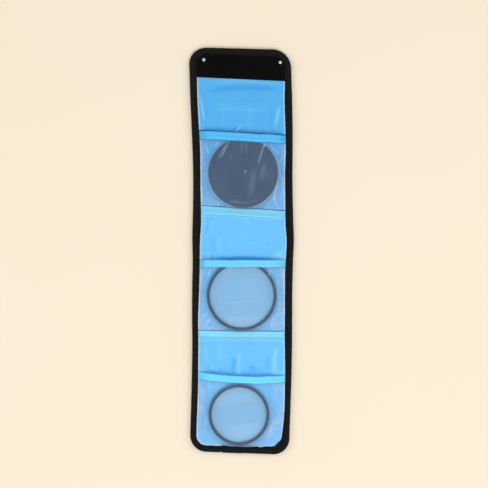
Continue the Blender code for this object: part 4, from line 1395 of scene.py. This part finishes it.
# %% Each pocket's film
def film_piece(pocket):
    """The film of one pocket, simulated, creased and given its thickness."""
    name = pocket.name
    top, low, inset = pocket.mouth - 0.0006, pocket.low + 0.0006, LAYER_INSET + 0.0004
    film_width = 2 * (HALF_WIDTH - inset)
    obj, across, along = cut_cloth("clear_film_" + name, film_width, top - low, FILM_STEP)
    u, v = (across - 0.5) * film_width, low + along * (top - low)
    if name == "lower":
        u, v = round_off(u, v, inset)
    x, y = lay(u, v)
    y = y + MOUTHS[name][2] * MM * (u / 0.040) ** 2 * ramp(v, pocket.centre.y, pocket.mouth)
    z, share, out = tent(u, v, x, y, pocket)
    under_tape = ramp(v, pocket.mouth - pocket.tape - 0.004, pocket.mouth - pocket.tape)
    raise_by = TAPE_TOP - FILM_TOP + 0.0002
    z = z + (low_ended(u, v, z + raise_by) - raise_by - z) * under_tape
    move_points(obj, np.column_stack([x, y, z]))
    held = (share > 0.96) | (out < 0.0006) | (v > top - pocket.tape)
    rest = moved = points(obj)
    rest, moved = settle(obj, held, FILM_SPARE, 25.0, 1.5, 0.15)
    limit = (SIDE_LIMIT, SIDE_LIMIT, SLOPE_LIMIT)
    change = np.clip(moved - rest, np.negative(limit), limit)
    x, y, z = (rest + change).T
    z = z + CREASE_RISE * np.minimum(crease_marks(x, y, name), 1.0)
    z = z + 0.00006 * ripples(x, y, 0.012, len(name)) * (out < 0.002)
    move_points(obj, np.column_stack([x, y, np.clip(z, SEWN_ON + FILM_THICKNESS, FILM_TOP + 0.0002)]))
    write_fields(
        obj, bent=sharp_bends(change[:, 2], columns_of(across)), from_binding=from_binding(u, v) / MM,
        sloping=SLOPE_HAZE_AND_REFLECTION[name] * ramp(out, 0.0, 0.003),
    )
    finish_with(obj, "SUBSURF", levels=1, render_levels=1)
    x, y, z = points(obj).T
    over_rim = np.hypot(x - pocket.centre.x, y - pocket.centre.y) - pocket.radius
    crease = crease_marks(x, y, name) + RIM_MARK[name] * bell(over_rim, 0.0006, 0.0005)
    thicken(obj, x, y, z, FILM_THICKNESS, -1, crease=crease, tape_line=tape_shadow(x, y, name))
    return obj


# %% [markdown]
# ## The film's finish
#
# Soft vinyl is clear with a milky cast, and it whitens in its creases; those marks are part real whitening
# and part painted highlight.  Its slopes are painted paler, part milky haze and part painted reflection, a thin
# painted shadow line runs beside its tapes, and a painted highlight beside the binding.  Alpha sets how much of
# the sheet is seen.  It is low all over, because light crosses it on its way in and out, and high in
# the creases, whose strength is stored in the mesh.

# %% Clear vinyl
vinyl = Finish("clear_vinyl", Roughness=0.16, IOR=1.5, Specular_IOR_Level=0.35)
cloudy = vinyl.noise(42.0)
# Slopes: part milky haze, part painted reflection of the lamps
sloping = vinyl.field("sloping")
mottles = ((cloudy + vinyl.cloth_noise(130.0, 55.0) - 0.88) * 2.2).clamp() * sloping
# Crease marks and sharp bends: part real whitening, part painted highlight
crease_whitening_and_highlight = vinyl.field("crease") + vinyl.field("bent") * 0.5
from_edge = vinyl.field("from_binding")
# Painted highlight along the binding's inner edge
painted_edge_highlight = from_edge.between(-0.3, 0.3) * (1.0 - from_edge.between(0.7, 1.6))
# Painted shadow line beside the tapes
tape_line = vinyl.field("tape_line")
vinyl.paint(
    (172, 210, 250),
    ((crease_whitening_and_highlight * 0.8 + painted_edge_highlight + mottles * 0.4).clamp(), (222, 240, 255)),
    (tape_line, (10, 60, 116)),
)
clouded = 0.065 + cloudy * 0.03 + sloping * 0.05 + mottles * 0.20 + crease_whitening_and_highlight * 0.26 + painted_edge_highlight * 0.22
vinyl.put(Alpha=(clouded + tape_line * 0.45).clamp())
vinyl.bump(vinyl.noise(420.0), 0.00005, 0.4)

films = [film_piece(pocket) for pocket in POCKETS]
for film, pocket in zip(films, POCKETS):
    dress(film, vinyl.material, pocket.body, "pocket_film_" + pocket.name)

# %% [markdown]
# ## Tapes on the pockets
#
# A bright blue tape is folded over each pocket's free edge and sewn, and a flat one covers the bottom
# seams.  Both are folded from flat grids, like the binding, and follow the film's height across the
# mouth.  Two low ribs run along each tape, where its stitches pull it down between them.

# %% The mouth tapes
MOUTH_TAPE_THICKNESS = 0.00036
MOUTH_COLUMNS = 24
SEAM_COLUMNS = 16
TAPE_STEP = 0.0011
TUCK = 0.0007
SEWN_SHARES = np.linspace(0.012, 0.988, 300)


def between_bindings(share, v):
    """Places across the case, from under the left binding to under the right one."""
    v = np.full_like(share, v)
    left, right = (HALF_WIDTH - visible_width(np.full_like(v, side), v) + TUCK for side in (-HALF_WIDTH, HALF_WIDTH))
    return -left + share * (left + right)


def mouth_tape(pocket):
    """The tape folded over a pocket's mouth, and the row of stitches along it."""
    name, width, mouth = pocket.name, pocket.tape, pocket.mouth

    def tape_top(u):
        """The tape's height across the case: over the film, and down to the binding at both ends."""
        v = np.full_like(u, mouth - 0.002)
        return low_ended(u, v, tent(u, v, *lay(u, v), pocket)[0] + TAPE_TOP - FILM_TOP)

    obj, across, along = cut_cloth("folded_tape_" + name, 2 * width, 2 * HALF_WIDTH, TAPE_STEP, MOUTH_COLUMNS)
    over, upper = np.abs(across - 0.5) * 2, across < 0.5
    round_share = 2.0 / MOUTH_COLUMNS
    turn = np.clip(1 - over / round_share, 0.0, 1.0) * math.pi / 2
    back = width * np.maximum(over - round_share, 0.0) / (1 - round_share)
    back = back + 0.00045 * (1 - np.sin(turn)) * (over < round_share)
    u = between_bindings(along, mouth)
    half = (TAPE_TOP - FILM_TOP + FILM_THICKNESS + SEWN_ON - LINING_TOP + MOUTH_TAPE_THICKNESS) / 2
    level = tape_top(u) - half + np.where(upper, half, -half) * np.cos(turn)
    ribs = 0.00012 * bell(over, 0.24, 0.09) + 0.00013 * bell(over, 0.66, 0.12) - 0.00010 * bell(over, 0.88, 0.05)
    level = level + (ribs + 0.00010 * ripples(u, mouth - back, 0.018, 3 + len(name))) * upper
    level = np.where(upper, level, np.maximum(level, SEWN_ON + 0.0002))
    x, _ = lay(u, np.full_like(u, mouth))
    y = mouth_line(u, name) - back + 0.00015 * ripples(u, u * 0, 0.022, 30 + len(name))
    thicken(obj, x, y, level, MOUTH_TAPE_THICKNESS, 1, over=np.where(upper, over, 0.5))
    line = between_bindings(SEWN_SHARES, mouth)
    x, _ = lay(line, np.full_like(line, mouth))
    sewn = row(x, mouth_line(line, name) - 0.86 * width, tape_top(line) + 0.00008)
    return obj, copies("tape_stitches_" + name, STITCH_POINTS * 0.75, STITCH_FACES, *sewn)


# %% The flat tapes over the bottom seams
def seam_tape(pocket):
    """The flat tape over a pocket's bottom seam, and its two rows of stitches."""
    name = pocket.name
    low, high = (corner.y + off * MM for corner, off in zip(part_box("seam_tape_" + name), SEAM_SHIFTS[name]))
    obj, across, along = cut_cloth("flat_tape_" + name, high - low, 2 * HALF_WIDTH, TAPE_STEP, SEAM_COLUMNS)
    v = low + across * (high - low)
    u = between_bindings(along, high)
    x, y = lay(u, np.full_like(u, high))
    y = y - (high - v) + 0.00012 * ripples(u, u * 0, 0.025, 50 + len(name))
    ribs = 0.00030 * bell(across, 0.78, 0.14) + 0.00022 * bell(across, 0.28, 0.14) - 0.00012 * bell(across, 0.52, 0.07)
    level = low_ended(u, v, SEAM_TAPE_TOP + ribs + 0.00005 * ripples(u, v, 0.015, 21))
    thicken(obj, x, y, level, MOUTH_TAPE_THICKNESS, 1, over=across)
    line = between_bindings(SEWN_SHARES, high)
    x, y = lay(line, np.full_like(line, high))
    level = np.full_like(line, SEAM_TAPE_TOP + 0.00008)
    rows = [row(x, y - off * (high - low), level) for off in (1 - 0.90, 1 - 0.10)]
    sewn = (np.concatenate(part) for part in zip(*rows))
    return obj, copies("seam_stitches_" + name, STITCH_POINTS * 0.75, STITCH_FACES, *sewn)


# %% Blue tape, and both kinds of tape in place
def tape_finish(name, low, high):
    """A ribbed tape, paler on its ribs."""
    made = Finish(name, Sheen_Weight=0.05, Specular_IOR_Level=0.3)
    cross_ribs = made.cloth_place()[1].wave(0.0007)
    over = made.field("over")
    edges = (over - 0.5).math("ABSOLUTE").between(0.28, 0.40)
    lines = edges * 0.75 + over.wave(1 / 3) * 0.15 + 0.15
    uneven = made.cloth_noise(300.0, 40.0)
    made.paint(
        low, ((lines * 0.6 + uneven * 0.5 - 0.05).clamp(), high), ((cross_ribs * 0.5 + 0.5) * 0.12, (60, 160, 225))
    )
    made.put(Roughness=0.45 + uneven * 0.15)
    made.bump(cross_ribs * 0.7 + uneven, 0.0001, 0.6)
    return made.material


# One blue dye in five copies, painted darker toward the flap and lighter below: painted shade and painted light
TAPE_BLUES = {
    "folded_tape_upper": tape_finish("deep_blue_tape", (64, 176, 240), (98, 208, 255)),
    "folded_tape_middle": tape_finish("bright_blue_tape", (94, 202, 244), (140, 232, 255)),
    "folded_tape_lower": tape_finish("light_blue_tape", (98, 212, 250), (142, 240, 255)),
    "flat_tape_upper": tape_finish("even_blue_tape", (100, 192, 234), (158, 234, 255)),
    "flat_tape_middle": tape_finish("pale_blue_tape", (114, 214, 246), (160, 240, 255)),
}
tape_pieces = []
for pocket in POCKETS:
    kinds = ((mouth_tape, "mouth_tape_"), (seam_tape, "seam_tape_"))
    held = []
    for make, node in kinds[:1] if pocket.name == "lower" else kinds:
        tape, sewn = make(pocket)
        dress(tape, TAPE_BLUES[tape.name], pocket.body, node + pocket.name)
        dress(sewn, BLUE_THREAD, pocket.body)
        held += [tape, sewn]
    tape_pieces.append(held)

# %% [markdown]
# ## Hook and loop tape
#
# Hook tape is a stiff base with rows of tiny moulded hooks, and loop tape a soft base full of loose
# loops.  One hook and one loop are modelled with a few faces and copied in rows, slightly out of line.
# The hook strip lies across the flap's upper end, below the binding.  The loop strip is on the back.

# %% The hook strip's base
HOOK_LOW, HOOK_HIGH = (corner.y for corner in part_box("hook_strip"))
HOOK_LOW -= 0.00065
HOOK_BASE_TOP = SEWN_ON + 0.0003
base, across, along = cut_cloth("hook_base", STRIP_WIDTH, HOOK_HIGH - HOOK_LOW, 0.0012)
v = HOOK_LOW + along * (HOOK_HIGH - HOOK_LOW)
drawn_in = 0.14 * ramp(v, cad_high.y - TOP_CORNER, cad_high.y - LAYER_INSET) ** 2
x, y = lay((across - 0.5) * STRIP_WIDTH * (1 - drawn_in), v)
thicken(base, x, y, HOOK_BASE_TOP + 0.00006 * ripples(x, y, 0.02, 9), 0.0003, -1)

# %% One hook, and the field of hooks
HOOK_PITCH_X = 0.00125
HOOK_PITCH_Y = 0.00115
HOOK_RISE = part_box("hook_strip")[1].z - HOOK_BASE_TOP
HOOK_WIDTH = 0.00034
EYELET_ROOM = 0.0028


def crook(points_along, half_width):
    """A four-sided stem along a bent line, with its vertices and faces."""
    verts, faces = [], []
    last = len(points_along) - 1
    for k, (x_at, z_at) in enumerate(points_along):
        taper = half_width * (1 - 0.45 * k / last)
        verts += [(x_at + dx * taper, dy * taper, z_at) for dx, dy in ((-1, -1), (1, -1), (1, 1), (-1, 1))]
    for a in range(0, 4 * last, 4):
        faces += [(a + i, a + (i + 1) % 4, a + 4 + (i + 1) % 4, a + 4 + i) for i in range(4)]
    return np.array(verts), faces + [(3, 2, 1, 0), tuple(range(4 * last, 4 * last + 4))]


def grid_places(low_u, high_u, step_u, low_v, high_v, step_v):
    """Places in even rows."""
    grid = np.meshgrid(np.arange(low_u, high_u, step_u), np.arange(low_v, high_v, step_v))
    return (part.ravel() for part in grid)


rise = HOOK_RISE
bent = [(0.0, 0.0), (0.00002, 0.5 * rise), (0.00016, 0.85 * rise), (0.00036, 0.95 * rise), (0.00048, 0.70 * rise)]
random = np.random.default_rng(4)
u, v = grid_places(-0.0425, 0.0425, HOOK_PITCH_X, HOOK_LOW + 0.0011, cad_high.y - 0.0074, HOOK_PITCH_Y)
u = u + random.uniform(-0.00015, 0.00015, u.size)
past_u, past_v = np.abs(u) - HALF_WIDTH + TOP_CORNER, v - cad_high.y + TOP_CORNER
beyond = (past_u > 0) & (past_v > 0) & (np.hypot(past_u, past_v) > TOP_CORNER - 0.0078)
x, y = lay(u, v)
kept = ~beyond
for side in ("left", "right"):
    eyelet = round_part("eyelet_" + side)[0]
    kept &= np.hypot(x - eyelet.x, y - eyelet.y) > EYELET_ROOM
spots = np.column_stack([x, y, np.full_like(x, HOOK_BASE_TOP - 0.00005)])[kept]
facing = np.where(random.uniform(size=len(spots)) > 0.5, math.pi / 2, -math.pi / 2)
facing = facing + random.uniform(-0.3, 0.3, len(spots))
hooks = copies("moulded_hooks", *crook(bent, HOOK_WIDTH / 2), spots, facing)

plastic = Finish("black_hook_plastic", Roughness=0.6, Specular_IOR_Level=0.12)
dusty = plastic.noise(260.0)
plastic.paint((3, 3, 4), ((dusty * 1.8 - 0.7).clamp(), (10, 10, 11)))
plastic.bump(dusty, 0.0001, 0.5)
base_black = Finish("black_hook_base", Roughness=0.8, Specular_IOR_Level=0.1)
threads = base_black.weave(0.0008)
base_black.paint((3, 3, 4), (threads * 0.5 + 0.5, (10, 10, 12)))
base_black.bump(threads, 0.0001, 0.7)
dress(base, base_black.material, "flap", "hook_strip")
dress(hooks, plastic.material, "flap")
print("hooks", len(spots))

# %% The loop strip on the back
LOOP_LOW, LOOP_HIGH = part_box("loop_strip")
LOOP_PITCH = 0.0014
LOOP_LEVEL = COVER_BOTTOM * 0.45
loop_size = LOOP_HIGH - LOOP_LOW
loop_base, across, along = cut_cloth("loop_base", loop_size.x, loop_size.y, 0.0015)
x, y = lay(LOOP_LOW.x + across * loop_size.x, LOOP_LOW.y + along * loop_size.y)
thicken(loop_base, x, y, LOOP_LEVEL, 0.00016, 1)

arch = [(-0.0004, 0.0), (-0.0003, -0.00022), (0.0, -0.00030), (0.0003, -0.00022), (0.0004, 0.0)]
u, v = grid_places(
    LOOP_LOW.x + 0.001, LOOP_HIGH.x - 0.001, LOOP_PITCH, LOOP_LOW.y + 0.001, LOOP_HIGH.y - 0.001, LOOP_PITCH * 0.7
)
u = u + random.uniform(-0.0004, 0.0004, u.size)
v = v + random.uniform(-0.0003, 0.0003, v.size)
x, y = lay(u, v)
spots = np.column_stack([x, y, np.full_like(x, LOOP_LEVEL)])
loops = copies("soft_loops", *crook(arch, 0.00007), spots, random.uniform(0, math.tau, len(spots)))

fuzz = Finish("black_loop_pile", Roughness=0.95, Sheen_Weight=0.6, Sheen_Roughness=0.5)
tuft = fuzz.noise(700.0)
fuzz.paint((16, 16, 18), (tuft, (52, 52, 57)))
fuzz.bump(tuft, 0.0002, 0.8)
dress(loop_base, fuzz.material, "middle_panel", "loop_strip")
dress(loops, fuzz.material, "middle_panel")
print("loops", len(spots))

# %% Rows of thread that hold both strips
def edge_row(name, corners, level, body):
    """Stitches along a line of corners, on one body."""
    share = np.linspace(0.0, 1.0, 120)
    lines = [lay(au + (bu - au) * share, av + (bv - av) * share) for (au, av), (bu, bv) in zip(corners, corners[1:])]
    x, y = np.concatenate(lines, axis=1)
    dress(
        copies(name, STITCH_POINTS * 0.8, STITCH_FACES, *row(x, y, np.full_like(x, level))), BLACK_THREAD, body
    )


IN = 0.0008
left, low, right, high = LOOP_LOW.x + IN, LOOP_LOW.y + IN, LOOP_HIGH.x - IN, LOOP_HIGH.y - IN
around = [(left, low), (right, low), (right, high), (left, high), (left, low)]
across_flap = [(-0.0430, HOOK_LOW + 0.0006), (0.0430, HOOK_LOW + 0.0006)]
edge_row("hook_stitches", across_flap, HOOK_BASE_TOP + 0.0001, "flap")
edge_row("loop_stitches", around, STITCH_HEIGHT * 0.5, "middle_panel")

# %% [markdown]
# ## Eyelets
#
# An eyelet is a short brass tube, nickel plated, whose two ends are rolled over.  The frame's own rings
# have square edges, so each is turned again with a rolled flange, and the washer below it likewise.

# %% Rolled eyelets and their washers
FLANGE_INSET = 0.0005
EYELET_BORE = 0.0007
EYELET_WALL = 0.0004
LIP = 0.0002
WASHER_WALL = 0.0007
WASHER_EASE = 0.0001


def arc(r, z, width, height, degrees):
    """Places on a quarter or half turn about (r, z)."""
    return [(r + width * math.cos(math.radians(a)), z + height * math.sin(math.radians(a))) for a in degrees]


def rolled_eyelet(side):
    """A tube with a rolled flange at its top and a throat that narrows."""
    centre, radius, low, high = round_part("eyelet_" + side)
    tube = EYELET_BORE + EYELET_WALL
    roll = arc(radius - FLANGE_INSET - LIP, high - LIP, LIP, LIP, (-90, -45, 0, 45, 90))
    throat = arc(tube, high - EYELET_WALL, EYELET_WALL, EYELET_WALL, (90, 120, 150, 180))
    waist = [(EYELET_BORE * 0.60, high - 1.6 * EYELET_WALL), (EYELET_BORE * 0.35, high - 2.4 * EYELET_WALL)]
    profile = [(tube, low), (tube, high - 2 * LIP)] + roll + throat + waist + [(EYELET_BORE * 0.35, low)]
    return turned("rolled_eyelet_" + side, profile, centre, steps=48)


def eased_washer(side):
    """A flat ring with its lower edges eased."""
    centre, outer, low, high = round_part("washer_" + side)
    inner, ease = outer - WASHER_WALL, WASHER_EASE
    profile = [(inner, low + ease), (inner + ease, low), (outer - ease, low), (outer, low + ease)]
    return turned("eased_washer_" + side, profile + [(outer, high), (inner, high)], centre, steps=48)


plated = Finish("nickel_plate", Metallic=1.0)
scuffs = plated.noise(1500.0)
plated.paint((232, 232, 230), (scuffs, (250, 250, 248)))
plated.put(Roughness=0.16 + scuffs * 0.16)
plated.bump(scuffs, 0.00003, 0.4)
for side in ("left", "right"):
    dress(rolled_eyelet(side), plated.material, "flap", "eyelet_" + side)
    dress(eased_washer(side), plated.material, "flap", "washer_" + side)

# %% [markdown]
# ## The films' flat sizes
#
# Last, each pocket's film is printed with the flat size that it was cut to, and with the stretches of lining
# below it.

# %% Films and the lining below them
lengths = [min(end, cad_high.y - LAYER_INSET) - max(start, cad_low.y + LAYER_INSET) for start, end in SPANS]
for film, pocket, tapes in zip(films, POCKETS, tape_pieces):
    size = (STRIP_WIDTH, pocket.mouth - pocket.low)
    stretches = zip(lining_pieces, SPANS)
    below = [piece.name for piece, (start, end) in stretches if start < pocket.mouth and end > pocket.low]
    print(film.name, "cut", [round(side / MM, 1) for side in size], "mm, rests on", below)
